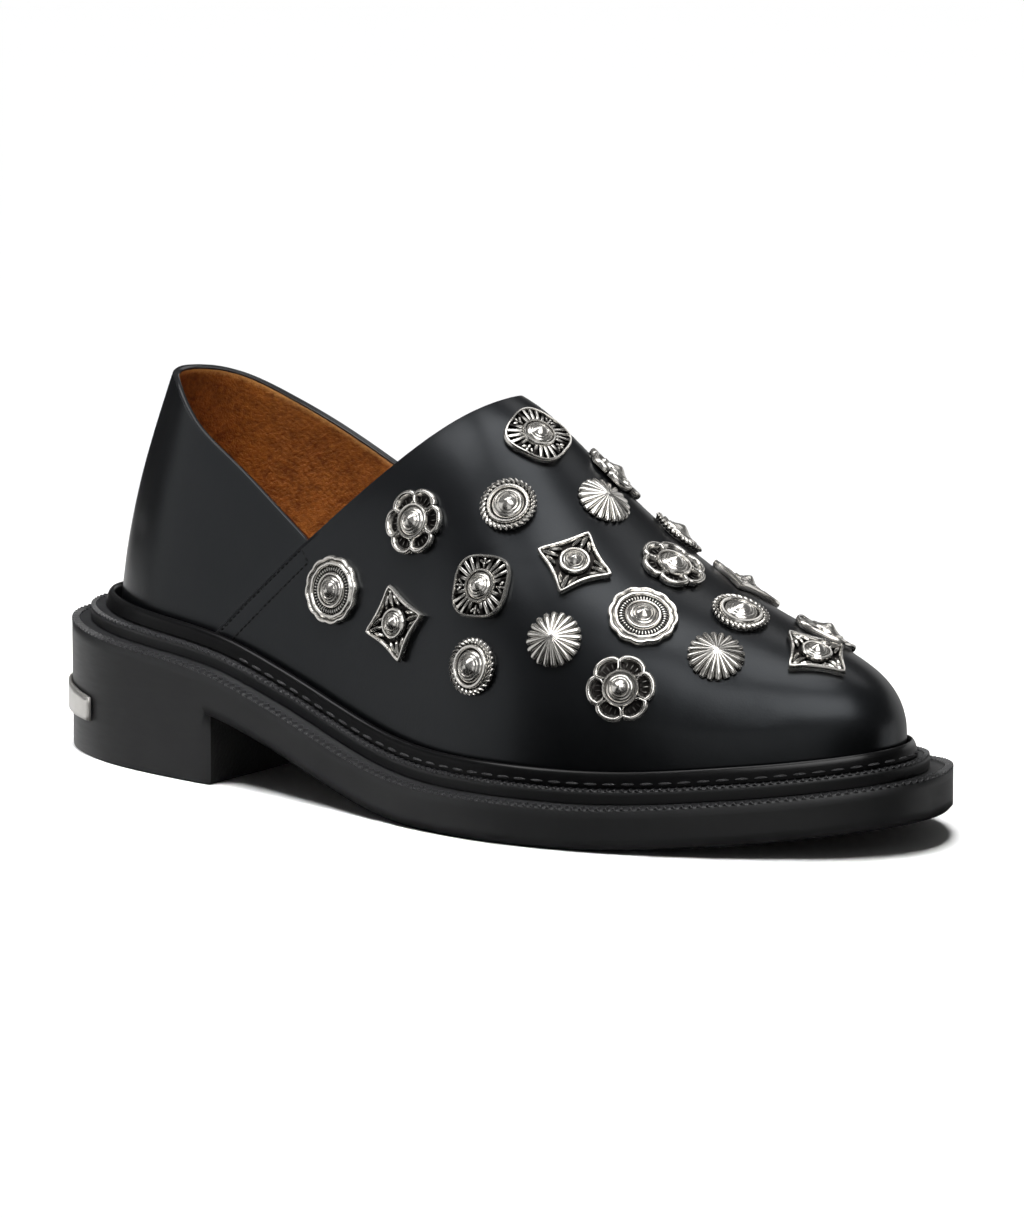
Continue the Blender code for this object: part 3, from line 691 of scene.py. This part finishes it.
def wheel_tooth(width, depth, height):
    """One wedge of the wheel-marked edge: X along the edge, Y into the sole, Z up."""
    bpy.ops.mesh.primitive_cylinder_add(vertices=3, radius=1.0, depth=1.0, rotation=(math.pi / 2, 0, 0))
    tooth = bpy.context.object
    bpy.ops.object.transform_apply()
    low, high = (side(v.co.z for v in tooth.data.vertices) for side in (min, max))
    with editing(tooth):
        bpy.ops.mesh.select_all(action="SELECT")
        bpy.ops.transform.translate(value=(0, 0, -low))
        size = (width / math.sqrt(3) * MM, depth * MM, height / (high - low) * MM)
        bpy.ops.transform.resize(value=size, center_override=(0, 0, 0))
        bpy.ops.transform.rotate(value=TOOTH_SLANT, orient_axis="Z", center_override=(0, 0, 0))
        bpy.ops.mesh.bevel(offset=height * TOOTH_BEVEL * MM, segments=1)
    return tooth


def mark_edge(name, layer, size, finish, slot):
    """Row of wedges round the top edge of a sole layer, as a marking wheel leaves them."""
    pitch, width, depth, height = size
    edge = border_loops(layer, lambda face: face.normal.z > TOP_SLOPE)[0]
    places, along = march(edge, pitch * MM, closed=True)
    out = outward_of(along)
    places += out * (TOOTH_PROUD - depth / 2) * MM - np.array(UP) * height * TOOTH_SINK * MM
    row = scatter(name, wheel_tooth(width, depth, height), places, along, -out)
    row.data.materials.append(finish)
    settle(row, slot)


def make_sole_block(edge, tread):
    """Outsole and heel with one unbroken side."""
    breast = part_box("heel")[1][0]
    block = working_copy("outsole", "sole_block")
    with editing(block):
        bpy.ops.mesh.select_all(action="SELECT")
        bpy.ops.mesh.bisect(plane_co=(breast, 0, 0), plane_no=(1, 0, 0))
        bpy.ops.mesh.select_all(action="DESELECT")
        pick(block, "faces", lambda f: f.normal.z < -HEEL_SEAT_SLOPE and f.calc_center_median().x < breast)
        bpy.ops.mesh.extrude_region_move()
        bpy.ops.transform.resize(value=(1, 1, 0), center_override=(0, 0, 0))
    with editing(block, "EDGE"):
        pick(block, "edges", is_heel_rim)
        bpy.ops.mesh.bevel(offset=HEEL_EDGE * MM, segments=2)
    crease_sharp(block, SOLE_CREASE)
    soften(block)
    paint_faces(block, (edge, tread), lambda face: int(face.normal.z < -TREAD_SLOPE or is_breast(face)))
    settle(block, "outsole_rubber", "outsole", "heel")
    return block


def is_breast(face):
    """True for the faces of the heel's flat front."""
    return face.normal.x > BREAST_SLOPE and abs(face.center.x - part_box("heel")[1][0]) < NEAR_BREAST * MM


def is_heel_rim(edge):
    """True for the edges round the heel's flat bottom."""
    low = max(vertex.co.z for vertex in edge.verts) < HEEL_BOTTOM * MM
    downs = [face.normal.z < -HEEL_BOTTOM_SLOPE for face in edge.link_faces]
    behind = edge.verts[0].co.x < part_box("heel")[1][0] + NEAR_BREAST * MM
    return low and any(downs) and not all(downs) and behind


def make_layer(node, name, finish, slot, crease):
    """Softened copy of a sole layer."""
    layer = working_copy(node, name)
    crease_sharp(layer, crease)
    soften(layer)
    layer.data.materials.append(finish)
    settle(layer, slot, node)
    return layer


def mark_rubbed(piece):
    """Marks how far each point faces up."""
    mark = piece.data.attributes.new("rubbed", "FLOAT", "POINT")
    for vertex in piece.data.vertices:
        mark.data[vertex.index].value = max(0.0, vertex.normal.z)


def make_welt_stitching(welt, thread):
    """Long stitches lying low on the lip's side, ahead of the heel."""
    foot = border_loops(welt, lambda face: face.normal.z < -TOP_SLOPE)[0]
    foot, along = march(foot, WELT_PITCH * MM, closed=True)
    keep = foot[:, 0] > WELT_STITCH_BACK * MM
    foot, along = foot[keep], along[keep]
    out = outward_of(along)
    skin = skin_of(welt)
    beside = foot + out * WELT_STITCH_OUT * MM + np.array(UP) * WELT_STITCH_UP * MM
    places = np.array([skin.find_nearest(Vector(place))[0] for place in beside])
    piece = scatter("welt_stitching", bead(WELT_STITCH), places, along, -out)
    piece.data.materials.append(thread)
    settle(piece, "welt_leather")


# Turned bodies of the studs, in millimetres: radius and height from the edge to the foot of the cone.
# The star's radii are those it would have if its corners weren't blunted
ROPE_BODY = ((7.3, 0.0), (7.6, 0.8), (7.0, 1.1), (6.05, 1.1), (5.95, 1.85), (5.65, 2.2), (5.15, 2.2),
             (4.9, 1.85), (4.8, 1.3), (4.5, 1.3), (4.35, 1.8))
FLOWER_BODY = ((6.4, 0.0), (6.6, 0.2), (6.2, 0.25), (5.1, 0.25), (5.0, 1.95), (4.75, 2.25), (4.4, 2.2),
               (4.2, 1.65), (3.95, 1.65), (3.8, 1.95))
SCALLOP_BODY = ((9.2, 0.0), (9.6, 0.8), (9.55, 1.5), (9.2, 1.9), (8.75, 1.85), (8.5, 1.4), (8.3, 1.1),
                (8.0, 1.4), (7.6, 1.75), (7.1, 1.75), (6.8, 1.45), (6.7, 0.9), (5.0, 0.9), (4.9, 1.6),
                (4.6, 1.95), (4.3, 1.9), (4.15, 1.4), (3.9, 1.4), (3.75, 1.75))
STAR_BODY = ((11.6, 0.0), (12.0, 0.8), (11.95, 1.6), (11.7, 2.0), (11.25, 2.0), (10.9, 1.6), (10.7, 0.5),
             (7.8, 0.35), (5.9, 0.35), (4.3, 0.4), (4.2, 1.9), (3.9, 2.2), (3.55, 2.15), (3.4, 1.7))
RAY_BODY = ((9.5, 0.0), (9.9, 0.8), (9.85, 1.5), (9.6, 1.9), (9.25, 1.85), (9.0, 1.3), (8.85, 0.5),
            (7.0, 0.35), (4.9, 0.4), (4.75, 1.85), (4.5, 2.2), (4.15, 2.15), (4.0, 1.6), (3.75, 1.6),
            (3.6, 1.95))
ROSETTE_BODY = ((7.2, 0.0), (7.7, 0.5), (7.65, 1.0), (7.1, 1.4), (5.9, 1.85), (4.5, 2.35), (3.1, 2.8),
                (1.7, 3.2), (0.7, 3.48))
PETAL_BODY = ((2.3, 0.0), (2.5, 0.7), (2.5, 1.35), (2.42, 1.68), (2.26, 1.9), (2.05, 1.95), (1.86, 1.82),
              (1.72, 1.5), (1.6, 1.1), (1.4, 0.65), (0.7, 0.42))
PETAL_FLOOR = 0.38
ROSETTE_TIP = 3.6
CONE_TIP = 3.8
SCALLOP_TIP = 3.4

# Profile of a stud's cone, ringed low down: shares of its foot's radius and of its height
CONE_RINGS = ((0.95, 0.08), (0.88, 0.22), (0.81, 0.25), (0.78, 0.17), (0.71, 0.35), (0.64, 0.4),
              (0.6, 0.33), (0.54, 0.47), (0.42, 0.63), (0.3, 0.77), (0.18, 0.89), (0.08, 0.97))

# How the studs are ornamented, in millimetres. Ornaments: length, width and height
SMOOTH_SIDES = 64
CORNERS = 4
HALF_CORNER = 45.0
ROPE_STRANDS = 30
ROPE_STRAND = (2.9, 1.05, 1.5)
ROPE_RADIUS = 7.0
ROPE_HEIGHT = 1.25
ROPE_LAY = math.radians(54.0)
PETALS = 6
PETAL_RADIUS = 6.9
PETAL_SPREAD = 1.6
PETAL_INNER_SPREAD = 2.4
PETAL_LEAN = 0.55
PETAL_WEDGE = math.tan(math.radians(31.0))
PETAL_SIDES = 28
STREAK = (2.6, 0.5, 0.9)
STREAK_RADIUS = 6.3
STREAK_TURNS = (-13.0, 0.0, 13.0)
SCALLOP_LOBES = 12
SCALLOP_DEPTH = 0.05
SCALLOP_START = 0.6
SCALLOP_SIDES = 96
REEDS = 44
REED = (1.6, 0.5, 1.2)
REED_HEIGHT = 0.95
REED_RADIUS = 5.85
STAR_POWER = 0.8
STAR_RIM = 1.3
STAR_CORE = 4.3
STAR_BLUNT = 0.9
BLUNTING = 20
LEAF_COLUMNS = ("size", "radius", "degrees", "twist")
LEAVES = (
    ((5.4, 1.5, 2.4), 7.2, 0.0, 0.0),
    ((4.2, 1.2, 2.2), 6.5, 15.0, -38.0),
    ((4.2, 1.2, 2.2), 6.5, -15.0, 38.0),
)
LEAF_HEIGHT = 0.8
TICK = (0.75, 0.32, 0.4)
TICKS = (-2.4, -1.6, 1.6, 2.4)
TICK_RADIUS = 6.25
TICK_HEIGHT = 2.0
TICK_HOLLOW = 0.22
RAY_POWER = 3.0
RAY_RIM = 1.1
RAY_CORE = 4.9
BAR = (4.2, 0.95, 1.5)
BAR_RADIUS = 6.9
BAR_HEIGHT = 1.0
BAR_BEVEL = 0.28
BAR_TURNS = (-27.0, -13.5, 0.0, 13.5, 27.0)
FLEUR = ((6.0, 0.0, 0.0), (7.3, 0.0, 0.0), (6.9, 9.0, 40.0), (6.9, -9.0, -40.0))
FLEUR_LEAF = (1.8, 0.85, 1.4)
FLEUR_HEIGHT = 1.0
FLUTES = 20
FLUTE_SIDES = 160
FLUTE_START = 0.12
FLUTE_DEPTH = 1.0
FLUTE_POINT = 1.7
FLUTE_EDGE = 0.08

# Bending of the studs' edges down to the leather: where the search starts and the most it bends, in
# millimetres, and the share of the gap it closes
PRESS_LIFT = 5.0
PRESS_MOST = 2.5
PRESS_SHARE = 0.85

# Search for recesses that keep their oxide: rays, then their start, their reach and the height of low
# points in millimetres, and what lying low adds
RECESS_RAYS = 28
RECESS_CLEAR = 0.05
RECESS_REACH = 4.0
RECESS_HEIGHT = 1.2
RECESS_GAIN = 0.3

# Reading of a solid stud: digits kept of its normals and points, and how level its back has to be
NORMAL_DIGITS = 2
POINT_DIGITS = 7
BACK_LEVEL = 0.9999


def coned(body, tip):
    """Body's profile carried on up a cone with fine rings low on it."""
    radius, foot = body[-1]
    return body + tuple((wide * radius, foot + high * (tip - foot)) for wide, high in CONE_RINGS)


def turned(name, profile, tip, sides):
    """Body drawn up ring by ring from the edge of its back to its tip."""
    radius, height = profile[0]
    bpy.ops.object.select_all(action="DESELECT")
    bpy.ops.mesh.primitive_circle_add(vertices=sides, radius=radius * MM, location=(0, 0, height * MM))
    body = bpy.context.object
    body.name = name
    bpy.ops.object.transform_apply()
    with editing(body, "EDGE"):
        bpy.ops.mesh.select_all(action="SELECT")
        for wide, high in profile[1:]:
            bpy.ops.mesh.extrude_edges_move()
            bpy.ops.transform.resize(value=(wide / radius, wide / radius, 1), center_override=(0, 0, 0))
            bpy.ops.transform.translate(value=(0, 0, (high - height) * MM))
            radius, height = wide, high
        bpy.ops.mesh.extrude_edges_move()
        bpy.ops.transform.translate(value=(0, 0, (tip - height) * MM))
        bpy.ops.mesh.merge(type="CENTER")
        bpy.ops.mesh.select_all(action="DESELECT")
        bpy.ops.mesh.select_non_manifold()
        bpy.ops.mesh.edge_face_add()
        bpy.ops.mesh.select_all(action="SELECT")
        bpy.ops.mesh.normals_make_consistent(inside=False)
    return body


def reshape(body, move):
    """Moves each point to the radius and height that move gives for its radius, turn and height."""
    for vertex in body.data.vertices:
        turn = math.atan2(vertex.co.y, vertex.co.x)
        radius, height = move(vertex.co.xy.length / MM, turn, vertex.co.z / MM)
        vertex.co = Vector((radius * math.cos(turn), radius * math.sin(turn), height)) * MM


def cornered(power, corner, radius, rim, core, blunt=2.0):
    """Square outline with hollow or rounded sides, an even rim and a round core, blunt at its corners."""

    def reach(turn):
        return (abs(math.cos(turn)) ** power + abs(math.sin(turn)) ** power) ** (-1 / power)

    def move(at, turn, height):
        share = reach(turn) / reach(corner)
        outer = radius * (share**-BLUNTING + blunt**-BLUNTING) ** (-1 / BLUNTING)
        if at > radius - rim:
            at = outer - radius + at
        elif at > core:
            at = core + (at - core) * (outer - rim - core) / (radius - rim - core)
        return at, height

    return move


def bead(size, place=(0.0, 0.0, 0.0), turn=0.0, sides=8):
    """Stitch or small plump ornament lying along X, turned in its plane and set in place."""
    bpy.ops.object.select_all(action="DESELECT")
    bpy.ops.mesh.primitive_uv_sphere_add(
        segments=sides, ring_count=6, radius=0.5, rotation=(0, math.pi / 2, 0)
    )
    ornament = bpy.context.object
    bpy.ops.object.transform_apply()
    ornament.data.transform(Matrix.LocRotScale(
        Vector(place) * MM, Matrix.Rotation(turn, 3, "Z").to_quaternion(), Vector(size) * MM
    ))
    return ornament


def bar(size, place, turn=0.0):
    """Small straight ridge lying along X with its edges taken off."""
    bpy.ops.object.select_all(action="DESELECT")
    bpy.ops.mesh.primitive_cube_add(size=1.0)
    ridge = bpy.context.object
    ridge.data.transform(Matrix.LocRotScale(
        Vector(place) * MM, Matrix.Rotation(turn, 3, "Z").to_quaternion(), Vector(size) * MM
    ))
    with editing(ridge, "EDGE"):
        bpy.ops.mesh.select_all(action="SELECT")
        bpy.ops.mesh.bevel(offset=min(size) * BAR_BEVEL * MM, segments=2)
    return ridge


def around(radius, degrees, height):
    """Place at that distance and turn from a stud's middle."""
    turn = math.radians(degrees)
    return (radius * math.cos(turn), radius * math.sin(turn), height)


def repeat(ornament, count):
    """Copies an ornament evenly round the stud's axis."""
    with editing(ornament):
        bpy.ops.mesh.select_all(action="SELECT")
        bpy.ops.mesh.spin(
            steps=count - 1, dupli=True, angle=2 * math.pi * (count - 1) / count,
            center=(0, 0, 0), axis=(0, 0, 1),
        )
    return ornament


def unite(name, pieces):
    """Joins the pieces of a stud and marks how deep each point lies in its relief."""
    bpy.ops.object.select_all(action="DESELECT")
    for piece in pieces:
        piece.select_set(True)
    bpy.context.view_layer.objects.active = pieces[0]
    bpy.ops.object.join()
    stud = pieces[0]
    stud.name = name
    bpy.ops.object.shade_smooth_by_angle(angle=SHARP_ANGLE)
    mark_tarnish(stud)
    return stud


def mark_tarnish(stud):
    """Share of the sky that the relief hides from each point, and more where it lies low."""
    golden = math.pi * (3 - math.sqrt(5))
    sky = []
    for index in range(RECESS_RAYS):
        rise = (index + 0.5) / RECESS_RAYS
        flat = math.sqrt(1 - rise**2)
        sky.append(Vector((flat * math.cos(golden * index), flat * math.sin(golden * index), rise)))
    skin = skin_of(stud)
    mark = stud.data.attributes.new("tarnish", "FLOAT", "POINT")
    for vertex in stud.data.vertices:
        start = vertex.co + vertex.normal * RECESS_CLEAR * MM
        facing = [ray for ray in sky if ray.dot(vertex.normal) > 0]
        hidden = sum(skin.ray_cast(start, ray, RECESS_REACH * MM)[0] is not None for ray in facing)
        low = max(0.0, 1.0 - vertex.co.z / (RECESS_HEIGHT * MM))
        mark.data[vertex.index].value = hidden / max(len(facing), 1) + RECESS_GAIN * low


def rope_stud():
    """Rim of twisted strands, a sunk ring, a smooth ring and a ringed cone."""
    body = turned("rope", coned(ROPE_BODY, CONE_TIP), CONE_TIP, SMOOTH_SIDES)
    strand = bead(ROPE_STRAND, (ROPE_RADIUS, 0.0, ROPE_HEIGHT), ROPE_LAY)
    return unite("rope", [body, repeat(strand, ROPE_STRANDS)])


def flower_stud():
    """Six hollow petals with raised rims, side by side round a ringed cone."""
    body = turned("flower", coned(FLOWER_BODY, CONE_TIP), CONE_TIP, SMOOTH_SIDES)
    petal = turned("petal", PETAL_BODY, PETAL_FLOOR, PETAL_SIDES)
    for vertex in petal.data.vertices:
        inset = PETAL_BODY[1][0] * MM - vertex.co.xy.length
        spread = PETAL_SPREAD if vertex.co.x > 0 else PETAL_INNER_SPREAD
        vertex.co.x += PETAL_RADIUS * MM - PETAL_LEAN * max(inset, 0.0)
        room = vertex.co.x * PETAL_WEDGE - inset
        vertex.co.y = max(-room, min(room, vertex.co.y * spread))
    pieces = [body, repeat(petal, PETALS)]
    for degrees in STREAK_TURNS:
        streak = bead(STREAK, around(STREAK_RADIUS, degrees, PETAL_FLOOR), math.radians(degrees), sides=6)
        pieces.append(repeat(streak, PETALS))
    return unite("flower", pieces)


def scallop_stud():
    """Wavy rim with a second wave inside it, a ring of fine reeds and a ringed cone."""
    radius = SCALLOP_BODY[1][0]

    def wave(at, turn, height):
        lobe = abs(math.cos(SCALLOP_LOBES / 2 * turn))
        share = max(0.0, (at / radius - SCALLOP_START) / (1 - SCALLOP_START))
        return at * (1 - SCALLOP_DEPTH * (1 - lobe) * share), height

    body = turned("scallop", coned(SCALLOP_BODY, SCALLOP_TIP), SCALLOP_TIP, SCALLOP_SIDES)
    reshape(body, wave)
    reed = bead(REED, (REED_RADIUS, 0.0, REED_HEIGHT), sides=6)
    return unite("scallop", [body, repeat(reed, REEDS)])


def star_stud():
    """Hollow-sided square with three leaves in each corner, ticks on its rim and a ringed cone."""
    body = turned("star", coned(STAR_BODY, CONE_TIP), CONE_TIP, SMOOTH_SIDES)
    reshape(body, cornered(STAR_POWER, 0.0, STAR_BODY[1][0], STAR_RIM, STAR_CORE, STAR_BLUNT))
    pieces = [body]
    for row in LEAVES:
        leaf = dict(zip(LEAF_COLUMNS, row))
        place = around(leaf["radius"], leaf["degrees"], LEAF_HEIGHT)
        turn = math.radians(leaf["degrees"] + leaf["twist"])
        pieces.append(repeat(bead(leaf["size"], place, turn), CORNERS))
    for aside in TICKS:
        reach = TICK_RADIUS + abs(aside) * TICK_HOLLOW
        middle = around(reach, HALF_CORNER, TICK_HEIGHT)
        across = around(aside, HALF_CORNER + 90.0, 0.0)
        place = [first + second for first, second in zip(middle, across)]
        pieces.append(repeat(bead(TICK, place, math.radians(HALF_CORNER), sides=6), CORNERS))
    return unite("star", pieces)


def ray_stud():
    """Rounded square with fans of ridges to its corners, leaves between them and a ringed cone."""
    body = turned("ray", coned(RAY_BODY, CONE_TIP), CONE_TIP, SMOOTH_SIDES)
    reshape(body, cornered(RAY_POWER, math.pi / 4, RAY_BODY[1][0], RAY_RIM, RAY_CORE))
    pieces = [body]
    for degrees in BAR_TURNS:
        place = around(BAR_RADIUS, HALF_CORNER + degrees, BAR_HEIGHT)
        pieces.append(repeat(bar(BAR, place, math.radians(HALF_CORNER + degrees)), CORNERS))
    for radius, degrees, twist in FLEUR:
        place = around(radius, degrees, FLEUR_HEIGHT)
        leaf = bead(FLEUR_LEAF, place, math.radians(degrees + twist), sides=6)
        pieces.append(repeat(leaf, CORNERS))
    return unite("ray", pieces)


def rosette_stud():
    """Fluted cone, pleated like an umbrella, with a scalloped edge."""
    radius = ROSETTE_BODY[1][0]

    def pleat(at, turn, height):
        valley = (1 - abs(math.cos(FLUTES / 2 * turn))) ** FLUTE_POINT
        share = at / radius
        depth = FLUTE_DEPTH * max(0.0, share - FLUTE_START) / (1 - FLUTE_START)
        return at * (1 - FLUTE_EDGE * valley * share**2), max(height - depth * valley, 0.0)

    body = turned("rosette", ROSETTE_BODY, ROSETTE_TIP, FLUTE_SIDES)
    reshape(body, pleat)
    return unite("rosette", [body])


STUD_KINDS = {
    "rope": rope_stud,
    "flower": flower_stud,
    "scallop": scallop_stud,
    "star": star_stud,
    "ray": ray_stud,
    "rosette": rosette_stud,
}


def stud_place(node):
    """Where a solid stud sits: its back's middle, its first lobe or corner, and its axis."""
    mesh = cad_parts[node].data
    areas = {}
    for face in mesh.polygons:
        key = tuple(round(part, NORMAL_DIGITS) for part in face.normal)
        areas[key] = areas.get(key, 0.0) + face.area
    back_way = Vector(max(areas, key=areas.get)).normalized()
    back = [face for face in mesh.polygons if face.normal.dot(back_way) > BACK_LEVEL]
    axis = -sum((face.normal * face.area for face in back), Vector()).normalized()
    corners = {
        tuple(round(part, POINT_DIGITS) for part in mesh.vertices[index].co)
        for face in back
        for index in face.vertices
    }
    points = [Vector(corner) for corner in corners]
    middle = sum(points, Vector()) / len(points)
    first = max(points, key=lambda point: (point - middle).length) - middle
    first -= axis * first.dot(axis)
    first.normalize()
    turn = Matrix((first, axis.cross(first), axis)).transposed()
    return Matrix.LocRotScale(middle, turn.to_quaternion(), None)


def press_down(stud, place, skin):
    """Bends a stud's edges down towards the leather that curves away under its flat back."""
    axis = place.col[2].xyz
    lift = PRESS_LIFT * MM
    for vertex in stud.data.vertices:
        foot = vertex.co - axis * (vertex.co - place.translation).dot(axis)
        _, _, _, depth = skin.ray_cast(foot + axis * lift, -axis)
        gap = PRESS_MOST * MM if depth is None else depth - lift
        vertex.co -= axis * PRESS_SHARE * min(gap, PRESS_MOST * MM)


def make_studs(silver, shell):
    """A copy of the right stud pattern in the place of each solid stud, pressed onto the leather."""
    skin = skin_of(shell)
    patterns = {kind: make() for kind, make in STUD_KINDS.items()}
    corner_turn = {"ray": Matrix.Rotation(-math.pi / 4, 4, "Z")}
    for node in sorted(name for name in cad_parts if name.startswith("stud_")):
        _, number, kind = node.split("_")
        stud = patterns[kind].copy()
        stud.data = patterns[kind].data.copy()
        stud.name = f"concho_{number}_{kind}"
        stud.data.name = stud.name
        place = stud_place(node)
        stud.data.transform(place @ corner_turn.get(kind, Matrix.Identity(4)))
        press_down(stud, place, skin)
        stud.data.materials.append(silver)
        bpy.context.scene.collection.objects.link(stud)
        settle(stud, "stud_metal", node)
    for pattern in patterns.values():
        bpy.data.objects.remove(pattern)


def make_floor():
    bpy.ops.object.select_all(action="DESELECT")
    bpy.ops.mesh.primitive_circle_add(vertices=FLOOR_SIDES, radius=FLOOR_RADIUS, fill_type="NGON")
    floor = bpy.context.object
    floor.name = "floor"
    floor.data.materials.append(pale_floor())
    floor.visible_glossy = False


def aim(lamp, place, target):
    """Sets a lamp in place, turned to its target."""
    bpy.context.scene.collection.objects.link(lamp)
    lamp.location = place
    lamp.rotation_euler = (Vector(target) - Vector(place)).to_track_quat("-Z", "Y").to_euler()


def softbox(name, place, target, size, glow):
    """Rectangular studio light of that brightness, seen only in reflections."""
    light = bpy.data.lights.new(name, "AREA")
    light.shape = "RECTANGLE"
    light.size, light.size_y = size
    light.energy = glow * math.pi * size[0] * size[1]
    lamp = bpy.data.objects.new(name, light)
    lamp.visible_diffuse = False
    aim(lamp, place, target)
    return lamp


def make_studio():
    """Dim room over a dark ground, softboxes all round, an even wash and lamps over the opening."""
    bpy.context.scene.view_settings.view_transform = "Standard"
    world = bpy.data.worlds.new("studio")
    bpy.context.scene.world = world
    world.use_nodes = True
    nodes, links = world.node_tree.nodes, world.node_tree.links
    way = nodes.new("ShaderNodeTexCoord")
    parts = nodes.new("ShaderNodeSeparateXYZ")
    rise = nodes.new("ShaderNodeMapRange")
    rise.inputs["From Min"].default_value, rise.inputs["From Max"].default_value = ROOM_DARK_TO_LIGHT
    rise.inputs["To Max"].default_value = ROOM_GLOW
    links.new(way.outputs["Generated"], parts.inputs["Vector"])
    links.new(parts.outputs["Z"], rise.inputs["Value"])
    links.new(rise.outputs["Result"], nodes["Background"].inputs["Strength"])
    nodes["Background"].inputs["Color"].default_value = (1.0, 1.0, 1.0, 1.0)
    for row in SOFTBOXES:
        softbox(*row)
    wash = bpy.data.lights.new("wash", "SUN")
    wash.energy = WASH_GLOW
    wash.angle = WASH_SPREAD
    lamp = bpy.data.objects.new("wash", wash)
    lamp.visible_glossy = False
    aim(lamp, WASH_PLACE, WASH_TARGET)
    for name, place, glow in INSIDE_LAMPS:
        inside = softbox(name, place, INSIDE_TARGET, INSIDE_SIZE, glow)
        inside.data.spread = INSIDE_SPREAD
        inside.visible_glossy = False
        inside.visible_diffuse = True


def make_camera():
    """Camera on the line of sight of the photograph."""
    back = Vector((
        math.sin(CAMERA_AZIMUTH) * math.cos(CAMERA_ELEVATION),
        -math.cos(CAMERA_AZIMUTH) * math.cos(CAMERA_ELEVATION),
        math.sin(CAMERA_ELEVATION),
    ))
    camera = bpy.data.cameras.new("camera")
    camera.sensor_fit = "HORIZONTAL"
    camera.sensor_width = SENSOR_WIDTH
    camera.lens = FOCAL_PIXELS * CLOSER / IMAGE_WIDTH * SENSOR_WIDTH
    viewer = bpy.data.objects.new("camera", camera)
    bpy.context.scene.collection.objects.link(viewer)
    viewer.location = CAMERA_TARGET + back * CAMERA_DISTANCE
    viewer.rotation_euler = back.to_track_quat("Z", "Y").to_euler()
    bpy.context.scene.camera = viewer


def main():
    edge, marks = dressed_edge(), burnished_marks_painted_highlight()
    shell, seams = make_upper(black_calf(), tan_suede())
    seam_thread = waxed_thread("seam_thread", (0.002, 0.002, 0.0024), (0.006, 0.006, 0.0066))
    make_seam_stitching(shell, seams, seam_thread)
    block = make_sole_block(edge, tread_rubber())
    mark_edge("outsole_wheel_marks", block, OUTSOLE_TOOTH, marks, "outsole_rubber")
    midsole = make_layer("midsole", "midsole_layer", edge, "midsole_leather", SOLE_CREASE)
    mark_edge("midsole_wheel_marks", midsole, MIDSOLE_TOOTH, marks, "midsole_leather")
    welt = make_layer("storm_welt", "welt_lip", welt_leather(), "welt_leather", WELT_CREASE)
    mark_rubbed(welt)
    # Welt thread painted grey as a painted highlight: the thread itself is glossy black and only catches
    # the light
    welt_thread_painted_highlight = waxed_thread("welt_thread_painted_highlight", (0.012, 0.012, 0.0125), (0.03, 0.03, 0.031))
    make_welt_stitching(welt, welt_thread_painted_highlight)
    make_layer("insole", "sock_lining", sock_leather(), "insole_leather", SOLE_CREASE)
    make_layer("heel_plate", "back_plate", plate_silver(), "heel_plate_metal", PLATE_CREASE)
    make_studs(cast_silver(), shell)
    make_floor()
    make_studio()
    make_camera()


main()
